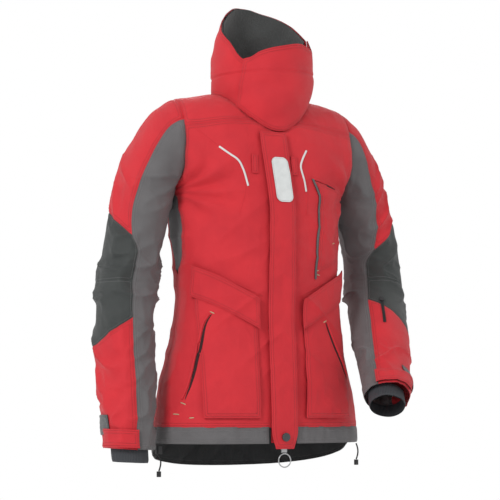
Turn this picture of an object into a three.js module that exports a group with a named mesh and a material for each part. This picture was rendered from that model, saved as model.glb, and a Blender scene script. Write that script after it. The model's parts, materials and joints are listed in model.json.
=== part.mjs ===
// A foul weather jacket as it hangs on a body: shell panels, collar, flaps, pockets, zips and two sleeves.
// Millimetres, +Z up, +X towards the wearer's left and -Y to the front.
// The origin is at the base of the neck, level with the tops of the shoulders.
import * as THREE from "three";

// Overall sizes
const ARMPIT_Z = -186;
const HEM_SEAM_Z = -658;
const CHEST_HALF_WIDTH = 186;
const WAIST_HALF_WIDTH = 172;
const HEM_HALF_WIDTH = 219;
const CHEST_FRONT_DEPTH = 118;
const CHEST_BACK_DEPTH = 108;
const WAIST_Z = -420;
const SIDE_Y = -10;
const SHOULDER_DROP = 23;
const NECK_TOP_Z = 17;
const ARMHOLE_HALF_DEPTH = 68;
const ROUNDNESS = 2.3;
const ARCH = 2.3;
const SADDLE_ANGLE = 40;

// Layers and clearances
const SHELL = 2;
const SEAM_GAP = 0.6;
const LAYER_GAP = 1;
const ARMHOLE_GAP = 1.6;
const SLEEVE_SEAM_GAP = 1.3;

// Collar
const NECK_HALF_WIDTH = 100;
const NECK_HALF_DEPTH = 86;
const NECK_Y = -26;
const COLLAR_TOP_HALF_WIDTH = 97;
const COLLAR_TOP_HALF_DEPTH = 75;
const COLLAR_TOP_Y = -57;
const COLLAR_HINGE_ANGLE = 93;
const COLLAR_FREE_ANGLE = -49;
const COLLAR_SHELL = 3;
const COLLAR_LINING = 2;
const LOOP_HEIGHT = 0.1;
const LOOP_STAND = 9;

// Front closure
const FLAP_HALF_WIDTH = 29;
const FLAP_TOP_Z = -76;
const FLAP_BOTTOM_Z = -700;
const FLAP_THICKNESS = 2.4;
const ZIP_HALF_WIDTH = 14;
const ZIP_SLOT_HALF = 7.5;
const FLAP_STAND = 6;
const SLIDER_WIDTH = 12;
const SLIDER_LENGTH = 16;
const SNAP_DIAMETER = 17;
const SNAP_Z = -677;
const RING_OUTER = 29;
const RING_WIRE = 2.4;
const SLIDER_Z = -699;
const RING_LIFT = 3.2;
const CORD_DIAMETER = 3;
const CORD_LENGTH = 32;

// Hem and pockets
const HEM_BAND = 32;
const TAIL_DROP = 50;
const POCKET_INNER_X = 50;
const POCKET_OUTER_X = 158;
const POCKET_BOTTOM_Z = -640;
const POCKET_THICKNESS = 4;
const POCKET_GAP = 2.2;
const POCKET_INNER_TOP_Z = -402;
const POCKET_OUTER_TOP_Z = -340;
const POCKET_FLAP_DEPTH = 62;

// Sleeves
const ELBOW_RADIUS = 60;
const CUFF_RADIUS = 48;
const ELBOW_OUT = 151.4;
const CUFF_OUT = 103.4;
const SEAL_RADIUS = 36;
const SEAL_LENGTH = 26;
const LEFT_ELBOW_BEND = 41;
const RIGHT_ELBOW_BEND = 0;
const LEFT_SLEEVE_TWIST = 48;

const DEG = Math.PI / 180;
const RED = 0xc93a40;
const GREY = 0x66676a;
const BLACK = 0x3c3f3e;
const WHITE = 0xe2e4e2;
const STEEL = 0x8c8e90;

const v3 = (x, y, z) => new THREE.Vector3(x, y, z);
const lerp = THREE.MathUtils.lerp;
const smooth = (x) => THREE.MathUtils.smoothstep(x, 0, 1);

// A smooth value through stations [position, value], held flat past both ends.
function through(stations, at) {
  const last = stations.length - 1;
  if (at <= stations[0][0]) return stations[0][1];
  if (at >= stations[last][0]) return stations[last][1];
  const k = stations.findIndex(([position]) => position > at) - 1;
  const slope = (i) => {
    const a = stations[Math.max(i - 1, 0)];
    const b = stations[Math.min(i + 1, last)];
    return (b[1] - a[1]) / (b[0] - a[0]);
  };
  const [x0, y0] = stations[k];
  const [x1, y1] = stations[k + 1];
  const step = x1 - x0;
  const t = (at - x0) / step;
  const u = 1 - t;
  return y0 * (1 + 2 * t) * u * u + slope(k) * step * t * u * u
    + y1 * (3 - 2 * t) * t * t - slope(k + 1) * step * t * t * u;
}

// ---- The torso surface ----

const halfWidth = (z) => through([
  [HEM_SEAM_Z - HEM_BAND - TAIL_DROP, HEM_HALF_WIDTH + 2],
  [HEM_SEAM_Z, HEM_HALF_WIDTH],
  [lerp(WAIST_Z, HEM_SEAM_Z, 0.62), lerp(WAIST_HALF_WIDTH, HEM_HALF_WIDTH, 0.7)],
  [lerp(WAIST_Z, HEM_SEAM_Z, 0.33), lerp(WAIST_HALF_WIDTH, HEM_HALF_WIDTH, 0.3)],
  [WAIST_Z, WAIST_HALF_WIDTH],
  [lerp(WAIST_Z, ARMPIT_Z, 0.4), lerp(WAIST_HALF_WIDTH, CHEST_HALF_WIDTH, 0.2)],
  [ARMPIT_Z, CHEST_HALF_WIDTH],
], z);

const frontDepth = (z) => through([
  [HEM_SEAM_Z, CHEST_FRONT_DEPTH + 10],
  [lerp(WAIST_Z, HEM_SEAM_Z, 0.4), CHEST_FRONT_DEPTH + 2],
  [WAIST_Z, CHEST_FRONT_DEPTH - 4],
  [lerp(WAIST_Z, ARMPIT_Z, 0.7), CHEST_FRONT_DEPTH + 3],
  [ARMPIT_Z, CHEST_FRONT_DEPTH],
], z);

const backDepth = (z) => through([
  [HEM_SEAM_Z, CHEST_BACK_DEPTH + 12],
  [lerp(WAIST_Z, HEM_SEAM_Z, 0.5), CHEST_BACK_DEPTH + 4],
  [WAIST_Z, CHEST_BACK_DEPTH - 13],
  [lerp(WAIST_Z, ARMPIT_Z, 0.6), CHEST_BACK_DEPTH - 3],
  [ARMPIT_Z, CHEST_BACK_DEPTH],
], z);

const shoulderTop = (x) => NECK_TOP_Z - SHOULDER_DROP * smooth((x / CHEST_HALF_WIDTH - 0.35) / 0.9);

const squircle = (share) => Math.pow(Math.max(0, 1 - Math.pow(share, ROUNDNESS)), 1 / ROUNDNESS);

// A point below the armpits: phi is 0 at the front centre, +90 at the wearer's left side, 180 at the back.
function lowerPoint(phi, z) {
  const s = Math.sin(phi * DEG);
  const c = Math.cos(phi * DEG);
  const x = halfWidth(z) * Math.sign(s) * Math.pow(Math.abs(s), 2 / ROUNDNESS);
  const depth = c > 0 ? frontDepth(z) : backDepth(z);
  return v3(x, SIDE_Y - depth * Math.sign(c) * Math.pow(Math.abs(c), 2 / ROUNDNESS), z);
}

// A point above the armpits: omega runs from 0 at armpit height in front, over 90 on the shoulder, to 180 behind.
function upperPoint(phi, omega) {
  const side = Math.abs(Math.sin(phi * DEG));
  const x = CHEST_HALF_WIDTH * Math.pow(side, 2 / ROUNDNESS);
  const rise = Math.pow(Math.sin(Math.min(Math.max(omega, 0), 180) * DEG), 2 / ARCH);
  const c = Math.cos(omega * DEG);
  const depth = c > 0 ? CHEST_FRONT_DEPTH : CHEST_BACK_DEPTH;
  const arch = depth * Math.pow(Math.abs(c), 2 / ARCH);
  const edge = 2 * ARMHOLE_HALF_DEPTH * Math.sqrt(Math.max(0, rise * (1 - rise)));
  const flat = squircle(x / CHEST_HALF_WIDTH);
  const y = SIDE_Y - Math.sign(c) * lerp(edge, arch, flat);
  return v3(Math.sign(Math.sin(phi * DEG)) * x, y, lerp(ARMPIT_Z, shoulderTop(x), rise));
}

// A point on the front from its x and z, moved out from the surface by lift.
function frontPoint(x, z, lift = 0) {
  const at = (px, pz) => {
    if (pz <= ARMPIT_Z) {
      return v3(px, SIDE_Y - frontDepth(pz) * squircle(Math.abs(px) / halfWidth(pz)), pz);
    }
    const rise = Math.min(0.999, (pz - ARMPIT_Z) / (shoulderTop(Math.abs(px)) - ARMPIT_Z));
    const omega = Math.asin(Math.pow(rise, ARCH / 2)) / DEG;
    const phi = Math.asin(Math.pow(Math.min(1, Math.abs(px) / CHEST_HALF_WIDTH), ROUNDNESS / 2)) / DEG;
    return v3(px, upperPoint(phi, omega).y, pz);
  };
  const step = 2;
  const across = at(x + step, z).sub(at(x - step, z));
  const up = at(x, z + step).sub(at(x, z - step));
  const normal = across.cross(up).normalize();
  return at(x, z).addScaledVector(normal, lift);
}

// The neckline in the torso's own angles: alpha is 0 in front, 90 at the wearer's left, 180 behind.
function neckAngles(alpha) {
  const x = NECK_HALF_WIDTH * Math.abs(Math.sin(alpha * DEG));
  const y = NECK_Y - NECK_HALF_DEPTH * Math.cos(alpha * DEG);
  const phi = Math.asin(Math.pow(x / CHEST_HALF_WIDTH, ROUNDNESS / 2)) / DEG;
  let low = 0;
  let high = 180;
  for (let i = 0; i < 40; i++) {
    const middle = (low + high) / 2;
    if (upperPoint(phi, middle).y < y) low = middle;
    else high = middle;
  }
  return { phi, omega: low };
}

const NECKLINE = Array.from({ length: 61 }, (_, i) => neckAngles(i * 3));

// The angle omega at which a column phi meets the neckline, in front or behind; past the neck, the saddle seam.
function panelTop(phi, behind) {
  const limit = behind ? 180 - SADDLE_ANGLE : SADDLE_ANGLE;
  const half = behind ? NECKLINE.slice(30).reverse() : NECKLINE.slice(0, 31);
  const next = half.findIndex((n) => n.phi >= phi);
  if (next < 0) return limit;
  const b = half[next];
  const a = half[Math.max(next - 1, 0)];
  const share = b.phi > a.phi ? (phi - a.phi) / (b.phi - a.phi) : 0;
  const omega = lerp(a.omega, b.omega, share);
  return behind ? Math.max(limit, omega) : Math.min(limit, omega);
}

// The column phi at which a row omega of the shoulder meets the neckline.
function neckColumn(omega) {
  const next = NECKLINE.findIndex((n) => n.omega >= omega);
  const b = NECKLINE[next < 0 ? 60 : next];
  const a = NECKLINE[Math.max(next - 1, 0)];
  const share = b.omega > a.omega ? (omega - a.omega) / (b.omega - a.omega) : 0;
  return lerp(a.phi, b.phi, share);
}

// ---- Closed solids from grids ----

// Which way is in, for the torso: towards a spine that stops below the shoulders.
const torsoCore = (p) => v3(p.x * 0.55, SIDE_Y, Math.min(p.z, ARMPIT_Z + 60));

function gridNormals(rows, wrap, core) {
  const n = rows[0].length;
  return rows.map((row, i) => row.map((p, j) => {
    const left = wrap ? (j + n - 1) % n : Math.max(j - 1, 0);
    const right = wrap ? (j + 1) % n : Math.min(j + 1, n - 1);
    const along = row[right].clone().sub(row[left]);
    const down = rows[Math.min(i + 1, rows.length - 1)][j].clone().sub(rows[Math.max(i - 1, 0)][j]);
    const normal = along.cross(down).normalize();
    return normal.dot(p.clone().sub(core(p, i, j))) < 0 ? normal.negate() : normal;
  }));
}

// A sheet of even thickness: rows hold the outer face, and the solid goes in from it, towards core.
function sheet(rows, thickness = SHELL, { wrap = false, core = torsoCore, lift = 0 } = {}) {
  const normals = gridNormals(rows, wrap, core);
  const outer = rows.map((row, i) => row.map((p, j) => p.clone().addScaledVector(normals[i][j], lift)));
  const inner = rows.map((row, i) => row.map((p, j) =>
    p.clone().addScaledVector(normals[i][j], lift - thickness)));
  return closeSheet(outer, inner, wrap);
}

function closeSheet(outer, inner, wrap = false) {
  const m = outer.length;
  const n = outer[0].length;
  const points = [...outer.flat(), ...inner.flat()];
  const at = (layer, i, j) => layer * m * n + i * n + (j % n);
  const quads = [];
  const columns = wrap ? n : n - 1;
  for (let i = 0; i < m - 1; i++) {
    for (let j = 0; j < columns; j++) {
      quads.push([at(0, i, j), at(0, i, j + 1), at(0, i + 1, j + 1), at(0, i + 1, j)]);
      quads.push([at(1, i, j), at(1, i + 1, j), at(1, i + 1, j + 1), at(1, i, j + 1)]);
    }
  }
  for (let j = 0; j < columns; j++) {
    quads.push([at(0, 0, j), at(1, 0, j), at(1, 0, j + 1), at(0, 0, j + 1)]);
    quads.push([at(0, m - 1, j), at(0, m - 1, j + 1), at(1, m - 1, j + 1), at(1, m - 1, j)]);
  }
  for (let i = 0; i < m - 1 && !wrap; i++) {
    quads.push([at(0, i, 0), at(0, i + 1, 0), at(1, i + 1, 0), at(1, i, 0)]);
    quads.push([at(0, i, n - 1), at(1, i, n - 1), at(1, i + 1, n - 1), at(0, i + 1, n - 1)]);
  }
  let triangles = quads.flatMap(([a, b, c, d]) => [[a, b, c], [a, c, d]]);
  const volume = triangles.reduce((sum, [a, b, c]) =>
    sum + points[a].dot(points[b].clone().cross(points[c])), 0);
  if (volume < 0) triangles = triangles.map(([a, b, c]) => [a, c, b]);
  const geometry = new THREE.BufferGeometry();
  geometry.setAttribute("position",
    new THREE.Float32BufferAttribute(points.flatMap((p) => [p.x, p.y, p.z]), 3));
  geometry.setIndex(triangles.flat());
  return geometry;
}

// A grid of points from a function of two shares: down the rows and across the columns.
const grid = (rows, columns, point) => Array.from({ length: rows + 1 }, (_, i) =>
  Array.from({ length: columns + 1 }, (_, j) => point(i / rows, j / columns)));

// A grid inset by the seam gap at its edges, so that it keeps clear of its neighbours.
function insetGrid(rows, gap = SEAM_GAP, ends = true) {
  const last = rows.length - 1;
  const move = (from, to) => {
    const d = to.clone().sub(from);
    return d.length() > gap * 3 ? from.clone().addScaledVector(d.normalize(), gap) : from.clone().lerp(to, 0.25);
  };
  const across = rows.map((row) => row.map((p, j) => {
    if (j === 0) return move(p, row[1]);
    if (j === row.length - 1) return move(p, row[j - 1]);
    return p.clone();
  }));
  if (!ends) return across;
  return across.map((row, i) => row.map((p, j) => {
    if (i === 0) return move(p, across[1][j]);
    if (i === last) return move(p, across[last - 1][j]);
    return p;
  }));
}

const jacket = new THREE.Group();

function add(name, geometry, color, roughness = 0.75, metalness = 0) {
  const mesh = new THREE.Mesh(geometry, new THREE.MeshStandardMaterial({ color, roughness, metalness }));
  mesh.name = name;
  jacket.add(mesh);
  return mesh;
}

// ---- Torso panels ----

// Heights of the panels' rows, as shares from the hem seam up to the armpit.
const PANEL_ROWS = [0, 0.16, 0.31, 0.44, 0.55, 0.64, 0.7, 0.77, 0.84, 0.91, 0.97, 1];
const LEAF_EDGE = [[0.64, 0], [0.7, 6], [0.77, 10], [0.84, 12], [0.91, 10.5], [0.97, 6], [1, 0]];

// How far the grey side panel reaches from the side line, in degrees.
function leafReach(z) {
  const share = (z - HEM_SEAM_Z) / (ARMPIT_Z - HEM_SEAM_Z);
  const next = LEAF_EDGE.findIndex(([at]) => at > share);
  if (next < 1) return 0;
  const [a, low] = LEAF_EDGE[next - 1];
  const [b, high] = LEAF_EDGE[next];
  return lerp(low, high, (share - a) / (b - a));
}

// The front or back panels' rows: up from the hem seam to the armpit, then over to the top edge.
function panelRows(columnAngle, behind, columns) {
  const lower = PANEL_ROWS.map((share) => {
    const z = lerp(HEM_SEAM_Z, ARMPIT_Z, share);
    return Array.from({ length: columns + 1 }, (_, j) => lowerPoint(columnAngle(j / columns, z), z));
  });
  const upper = [0.22, 0.45, 0.7, 1].map((share) =>
    Array.from({ length: columns + 1 }, (_, j) => {
      const phi = columnAngle(j / columns, ARMPIT_Z);
      const around = behind ? 180 - Math.abs(phi) : Math.abs(phi);
      const top = panelTop(around, behind);
      const omega = behind ? 180 - (180 - top) * share : top * share;
      const p = upperPoint(around, omega);
      return v3(Math.sign(phi) * p.x, p.y, p.z);
    }));
  return [...lower, ...upper];
}

function frontPanel(side) {
  const angle = (share, z) => {
    const centre = Math.asin(Math.pow(ZIP_SLOT_HALF / halfWidth(z), ROUNDNESS / 2)) / DEG;
    return side * lerp(centre, 90 - leafReach(z), share);
  };
  return sheet(insetGrid(panelRows(angle, false, 9)));
}

function backPanel() {
  const angle = (share, z) => {
    const reach = 90 - leafReach(z);
    return share < 0.5 ? -180 + reach * (1 - share * 2) : 180 - reach * (share * 2 - 1);
  };
  return sheet(insetGrid(panelRows(angle, true, 16)));
}

function sidePanel(side) {
  const rows = [0.665, 0.7, 0.77, 0.84, 0.91, 0.97, 0.985].map((share) => {
    const z = lerp(HEM_SEAM_Z, ARMPIT_Z, share);
    const reach = leafReach(z);
    return [0, 0.25, 0.5, 0.75, 1].map((j) => lowerPoint(side * lerp(90 - reach, 90 + reach, j), z));
  });
  return sheet(insetGrid(rows, SEAM_GAP * 2.5, false));
}

function shoulderPanel(side) {
  const rows = grid(8, 6, (i, j) => {
    const omega = lerp(SADDLE_ANGLE, 180 - SADDLE_ANGLE, i);
    const p = upperPoint(lerp(neckColumn(omega), 90, j), omega);
    return v3(side * p.x, p.y, p.z);
  });
  return sheet(insetGrid(rows));
}

// The white strip that lies along the back of each shoulder.
function shoulderReflector(side) {
  const rows = grid(2, 5, (i, j) => {
    const omega = lerp(98, 106, i);
    const p = upperPoint(lerp(neckColumn(omega) + 3, 78, j), omega);
    return v3(side * p.x, p.y, p.z);
  });
  return sheet(rows, 0.8, { lift: LAYER_GAP + 0.8 });
}

// A layer on the front: at(i, j) gives its x and z, and lift is its outer face's height above the surface.
function frontPatch(rows, columns, at, lift, thickness) {
  return sheet(grid(rows, columns, (i, j) => frontPoint(...at(i, j))), thickness, { lift });
}

function hemBand(side) {
  const rows = grid(2, 12, (i, j) => {
    const z = HEM_SEAM_Z - HEM_BAND * i;
    const centre = side * (FLAP_HALF_WIDTH + LAYER_GAP + 1);
    const from = Math.asin(Math.pow(Math.abs(centre) / halfWidth(z), ROUNDNESS / 2)) / DEG;
    return lowerPoint(side * lerp(from, 90, j), z);
  });
  return sheet(insetGrid(rows), SHELL * 1.3);
}

// The back hem drops below the front one.
function backTail() {
  const rows = grid(4, 20, (i, j) => {
    const phi = lerp(90, 270, j);
    const drop = HEM_BAND + TAIL_DROP * Math.pow(Math.sin(Math.PI * j), 0.6);
    return lowerPoint(phi, HEM_SEAM_Z - drop * i);
  });
  return sheet(insetGrid(rows), SHELL * 1.3);
}

function bodyLining() {
  const rows = grid(9, 24, (i, j) => {
    const z = lerp(HEM_SEAM_Z + 12, ARMPIT_Z - 14, i);
    const start = Math.asin(Math.pow(FLAP_HALF_WIDTH / halfWidth(z), ROUNDNESS / 2)) / DEG;
    return lowerPoint(lerp(start, 360 - start, j), z);
  });
  return sheet(rows, 1.2, { lift: -SHELL - LAYER_GAP * 2.6 });
}

// ---- Collar ----

const COLLAR_RIM = [
  [-180, 209], [-150, 203], [-110, 157], [-85, 129], [-72, 112], [-49, 76], [-25, 92], [0, 103],
  [27, 112], [67, 106], [100, 146], [138, 187], [180, 209],
];

function neckPoint(alpha) {
  const wrapped = Math.abs(((alpha + 540) % 360) - 180);
  const { phi, omega } = neckAngles(wrapped);
  const p = upperPoint(phi, omega);
  return v3(NECK_HALF_WIDTH * Math.sin(alpha * DEG), p.y, p.z);
}

// A point of the collar: height is 0 at the neck seam and 1 at the rim.
function collarPoint(alpha, height) {
  const base = neckPoint(alpha);
  const rim = v3(
    COLLAR_TOP_HALF_WIDTH * Math.sin(alpha * DEG),
    COLLAR_TOP_Y - COLLAR_TOP_HALF_DEPTH * Math.cos(alpha * DEG),
    through(COLLAR_RIM, ((alpha + 540) % 360) - 180),
  );
  const p = base.clone().lerp(rim, height);
  const bulge = 6 * Math.sin(Math.PI * height);
  return p.add(v3(Math.sin(alpha * DEG) * bulge, -Math.cos(alpha * DEG) * bulge, 0));
}

const collarCore = (p) => v3(0, lerp(NECK_Y, COLLAR_TOP_Y, 0.5), p.z);
const COLLAR_SEAM = 0.022;

function collarSheet(from, to, columns, thickness, lift, heights = [COLLAR_SEAM, 1]) {
  const rows = grid(6, columns, (i, j) =>
    collarPoint(lerp(from, to, j), lerp(heights[0], heights[1], i)));
  return sheet(rows, thickness, { core: collarCore, lift });
}

const COLLAR_UNDERLAP = COLLAR_FREE_ANGLE + 16;
const COLLAR_FLAP_LIFT = COLLAR_SHELL + LAYER_GAP;

// A flat loop of webbing inside the back of the neck: it is hung over a hook by its straight top bar.
function hangingLoop() {
  const [width, height, strap, depth] = [56, 22, 4, 3];
  const outline = new THREE.Shape([[-1, 0], [1, 0], [1, 1], [-1, 1]].map(([x, z]) =>
    new THREE.Vector2(x * width / 2, z * height)));
  outline.holes.push(new THREE.Path([[-1, 0], [-1, 1], [1, 1], [1, 0]].map(([x, z]) =>
    new THREE.Vector2(x * (width / 2 - strap), strap + z * (height - 2 * strap)))));
  const geometry = new THREE.ExtrudeGeometry(outline, { depth, bevelEnabled: false });
  geometry.rotateX(Math.PI / 2);
  const seat = collarPoint(180, LOOP_HEIGHT);
  geometry.translate(0, seat.y - COLLAR_LINING - COLLAR_SHELL - LOOP_STAND, seat.z);
  return geometry;
}

// ---- Sleeves ----

// Stations down an arm that hangs straight: the outer and inner lines as [x, z], the centre's y and half the depth.
const SHOULDER_X = CHEST_HALF_WIDTH + ARMHOLE_GAP;
const UPPER_ARM = [
  { outer: [SHOULDER_X, -7], inner: [SHOULDER_X, ARMPIT_Z - 1], y: SIDE_Y, depth: ARMHOLE_HALF_DEPTH },
  { outer: [SHOULDER_X + 18.4, -13], inner: [SHOULDER_X + 1.2, ARMPIT_Z - 4], y: -9, depth: 70 },
  { outer: [SHOULDER_X + 40.4, -28], inner: [SHOULDER_X + 2.9, ARMPIT_Z - 10], y: -8, depth: 71 },
  { outer: [SHOULDER_X + 60.4, -54], inner: [SHOULDER_X + 4.9, ARMPIT_Z - 17], y: -6, depth: 71 },
  { outer: [SHOULDER_X + 81.4, -90], inner: [SHOULDER_X + 6.9, ARMPIT_Z - 26], y: -4, depth: 70 },
  { outer: [SHOULDER_X + 98.4, ARMPIT_Z + 56], inner: [SHOULDER_X + 9.4, ARMPIT_Z - 39], y: -2, depth: 68 },
  { outer: [SHOULDER_X + 111.4, ARMPIT_Z + 11], inner: [SHOULDER_X + 12.4, ARMPIT_Z - 56], y: 0, depth: 65 },
  { outer: [SHOULDER_X + 125.4, ARMPIT_Z - 46], inner: [SHOULDER_X + 16.4, ARMPIT_Z - 82], y: 4, depth: 63 },
  { outer: [SHOULDER_X + 138.4, ARMPIT_Z - 104], inner: [SHOULDER_X + 23.4, ARMPIT_Z - 126], y: 8, depth: 61.5 },
  {
    outer: [SHOULDER_X + ELBOW_OUT, ARMPIT_Z - 184],
    inner: [SHOULDER_X + ELBOW_OUT - 2 * ELBOW_RADIUS, ARMPIT_Z - 187],
    y: 12,
    depth: ELBOW_RADIUS,
  },
];
const FOREARM = [
  { outer: [SHOULDER_X + 157.4, ARMPIT_Z - 249], inner: [SHOULDER_X + 38.4, ARMPIT_Z - 254], y: 6, depth: 59.5 },
  { outer: [SHOULDER_X + 160.4, ARMPIT_Z - 314], inner: [SHOULDER_X + 43.4, ARMPIT_Z - 319], y: -5, depth: 58.5 },
  { outer: [SHOULDER_X + 157.4, ARMPIT_Z - 374], inner: [SHOULDER_X + 46.4, ARMPIT_Z - 379], y: -15, depth: 55 },
  { outer: [SHOULDER_X + 153.4, ARMPIT_Z - 432], inner: [SHOULDER_X + 50.4, ARMPIT_Z - 436], y: -26, depth: 51.5 },
  {
    outer: [SHOULDER_X + CUFF_OUT + CUFF_RADIUS, ARMPIT_Z - 511],
    inner: [SHOULDER_X + CUFF_OUT - CUFF_RADIUS, ARMPIT_Z - 515],
    y: -41,
    depth: CUFF_RADIUS,
  },
];
const ARM = [...UPPER_ARM, ...FOREARM];
const ELBOW = UPPER_ARM.length - 1;
const WRIST = ARM.length - 1;
const BEND_AXIS = v3(0.86, -0.5, 0.1).normalize();
const BEND_PSI = 120;
const BEND_SPAN = 1.3;

function armStation(t) {
  const value = (pick) => through(ARM.map((station, i) => [i, pick(station)]), t);
  return {
    centre: v3(
      value((s) => (s.outer[0] + s.inner[0]) / 2), value((s) => s.y),
      value((s) => (s.outer[1] + s.inner[1]) / 2)),
    out: v3(value((s) => (s.outer[0] - s.inner[0]) / 2), 0, value((s) => (s.outer[1] - s.inner[1]) / 2)),
    depth: value((s) => s.depth),
  };
}

// An arm of one side: point(t, psi) with t down the stations, psi 0 outside, 90 in front, 180 inside.
function makeArm(side, bend, twist, spread) {
  const turn = (t) => -bend * smooth((t - ELBOW + BEND_SPAN) / (2 * BEND_SPAN)) * DEG;
  const steps = 12;
  const spine = [armStation(0).centre];
  for (let i = 1; i <= WRIST * steps; i++) {
    const step = armStation(i / steps).centre.sub(armStation((i - 1) / steps).centre);
    spine.push(spine[i - 1].clone().add(step.applyAxisAngle(BEND_AXIS, turn((i - 0.5) / steps))));
  }
  const spineAt = (t) => {
    const at = Math.min(Math.max(t, 0), WRIST) * steps;
    const k = Math.min(Math.floor(at), spine.length - 2);
    return spine[k].clone().lerp(spine[k + 1], at - k);
  };
  const past = (t) => {
    const end = spine[spine.length - 1];
    const direction = end.clone().sub(spine[spine.length - 1 - steps / 2]).normalize();
    return direction.multiplyScalar(t);
  };
  const mirror = (p) => v3(side * p.x, p.y, p.z);
  const aside = (t) => v3(spread * smooth((t - 3) / (ELBOW - 3)), 0, 0);
  const direction = (t, v) => mirror(v.clone().applyAxisAngle(BEND_AXIS, turn(t)));
  const point = (t, psi, lift = 0, beyond = 0) => {
    const { out, depth } = armStation(t);
    const front = v3(0, -depth, 0);
    const radial = out.clone().multiplyScalar(Math.cos(psi * DEG))
      .addScaledVector(front, Math.sin(psi * DEG));
    radial.setLength(radial.length() + lift);
    const p = spineAt(t).add(aside(t)).add(radial.applyAxisAngle(BEND_AXIS, turn(t)));
    return mirror(beyond ? p.add(past(beyond)) : p);
  };
  return {
    side,
    twist: (t) => twist * smooth(t / ELBOW),
    centre: (t) => mirror(spineAt(t).add(aside(t))),
    direction,
    point,
    along: mirror(past(1)),
  };
}

const PATCH_TOP = ELBOW - 1.8;
const PATCH_BOTTOM = ELBOW + 2.1;
const GREY_FRONT = [[0, 57], [4, 58], [ELBOW - 2, 53], [ELBOW - 1.35, 60], [ELBOW - 0.9, 78], [ELBOW, 81],
  [ELBOW + 0.9, 84], [ELBOW + 1.2, 86], [WRIST, 88]];
const GREY_BACK = [[0, 70], [4, 72], [ELBOW - 1, 100], [ELBOW, 104], [ELBOW + 1.2, 100], [WRIST, 92]];

// The patch's upper and lower edges rise and fall across the outside of the elbow.
const patchTop = (share) => PATCH_TOP - 0.35 + 0.9 * Math.pow(Math.abs(share - 0.42) / 0.58, 1.3);
const patchBottom = (share) => PATCH_BOTTOM - 1.0 * Math.pow(Math.abs(share - 0.4) / 0.6, 1.2);

// Across the outer panels: share 0 is the back seam and 1 the front seam.
const outerPsi = (arm, t, share) =>
  lerp(-through(GREY_BACK, t), through(GREY_FRONT, t), share) + arm.twist(t);
const innerPsi = (arm, t, share) =>
  lerp(through(GREY_FRONT, t), 360 - through(GREY_BACK, t), share) + arm.twist(t);

// How far past the elbow line the lower sleeve starts, so that it can bend: in station lengths.
function elbowGap(arm, psi) {
  const forward = Math.cos((psi - BEND_PSI) * DEG);
  const middle = (arm.frontGap + arm.backGap) / 2;
  return (middle + forward * (arm.frontGap - arm.backGap) / 2) / 65;
}

function armSheet(arm, rows, options = {}) {
  const core = (p, i, j) => arm.centre(options.at ? options.at(i, j) : 0);
  return sheet(insetGrid(rows, SLEEVE_SEAM_GAP), options.thickness ?? SHELL, { core, lift: options.lift ?? 0 });
}

// A panel of an arm: levels(share) lists the heights t of its rows at that share across it.
function armPanel(arm, { columns, levels, psi, thickness, lift }) {
  const heights = Array.from({ length: columns + 1 }, (_, j) => levels(j / columns));
  const points = heights[0].map((_, i) =>
    heights.map((list, j) => arm.point(list[i], psi(list[i], j / columns))));
  return armSheet(arm, points, { at: (i, j) => heights[j][i], thickness, lift });
}

const evenly = (from, to, count) => Array.from({ length: count + 1 }, (_, i) => lerp(from, to, i / count));
const SHOULDER_LEVELS = [0, 1, 2, 3, 4, 5, 6];

function addSleeve(arm, name) {
  const outer = (t, share) => outerPsi(arm, t, share);
  const inner = (t, share) => innerPsi(arm, t, share);
  const start = (psi) => ELBOW + elbowGap(arm, psi);
  add(`${name}_upper_sleeve`, armPanel(arm, {
    columns: 8, psi: outer, levels: (share) => [...SHOULDER_LEVELS, ...evenly(6, patchTop(share), 2).slice(1)],
  }), RED);
  add(`${name}_underarm_panel`, armPanel(arm, {
    columns: 9, psi: inner, levels: () => [...SHOULDER_LEVELS, ...evenly(6, patchTop(1), 2).slice(1),
      ...evenly(patchTop(1), ELBOW, 3).slice(1)],
  }), GREY);
  add(`${name}_elbow_patch_upper`, armPanel(arm, {
    columns: 8, psi: outer, levels: (share) => evenly(patchTop(share), ELBOW, 3),
  }), BLACK, 0.6);
  add(`${name}_elbow_patch_lower`, armPanel(arm, {
    columns: 8, psi: outer,
    levels: (share) => evenly(start(outer(ELBOW, share)), patchBottom(share), 3),
  }), BLACK, 0.6);
  add(`${name}_forearm_panel`, armPanel(arm, {
    columns: 8, psi: outer, levels: (share) => evenly(patchBottom(share), WRIST, 6),
  }), RED);
  add(`${name}_forearm_inner_panel`, armPanel(arm, {
    columns: 7, psi: inner, levels: (share) => evenly(start(inner(ELBOW, share)), WRIST, 8),
  }), GREY);
}

const rightArm = makeArm(-1, RIGHT_ELBOW_BEND, 0, -4);
rightArm.frontGap = 22;
rightArm.backGap = 14;
const leftArm = makeArm(1, LEFT_ELBOW_BEND, LEFT_SLEEVE_TWIST, 10);
leftArm.frontGap = 20;
leftArm.backGap = 20;

// ---- Front closure pieces ----

const FLAP_LIFT = FLAP_STAND + FLAP_THICKNESS;
const flapCentre = (z) => -16 * smooth((z + 240) / 160);
const flapHalf = (z) => FLAP_HALF_WIDTH - 9 * smooth((FLAP_BOTTOM_Z + 16 - z) / 16);

const stormFlap = () => frontPatch(20, 4, (i, j) => {
  const z = lerp(FLAP_BOTTOM_Z, FLAP_TOP_Z, i);
  return [flapCentre(z) + lerp(-1, 1, j) * flapHalf(z), z];
}, FLAP_LIFT, FLAP_THICKNESS);

const frontReflector = () => frontPatch(6, 3, (i, j) => {
  const z = lerp(-212, -123, i);
  return [flapCentre(z) + lerp(-13, 24, j), z];
}, FLAP_LIFT + LAYER_GAP + 0.8, 0.8);

const zipTape = (side) => frontPatch(14, 1, (i, j) =>
  [side * lerp(0.6, ZIP_HALF_WIDTH, j), lerp(HEM_SEAM_Z - HEM_BAND + 2, -92, i)], -SHELL - 0.8, 0.9);

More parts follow.
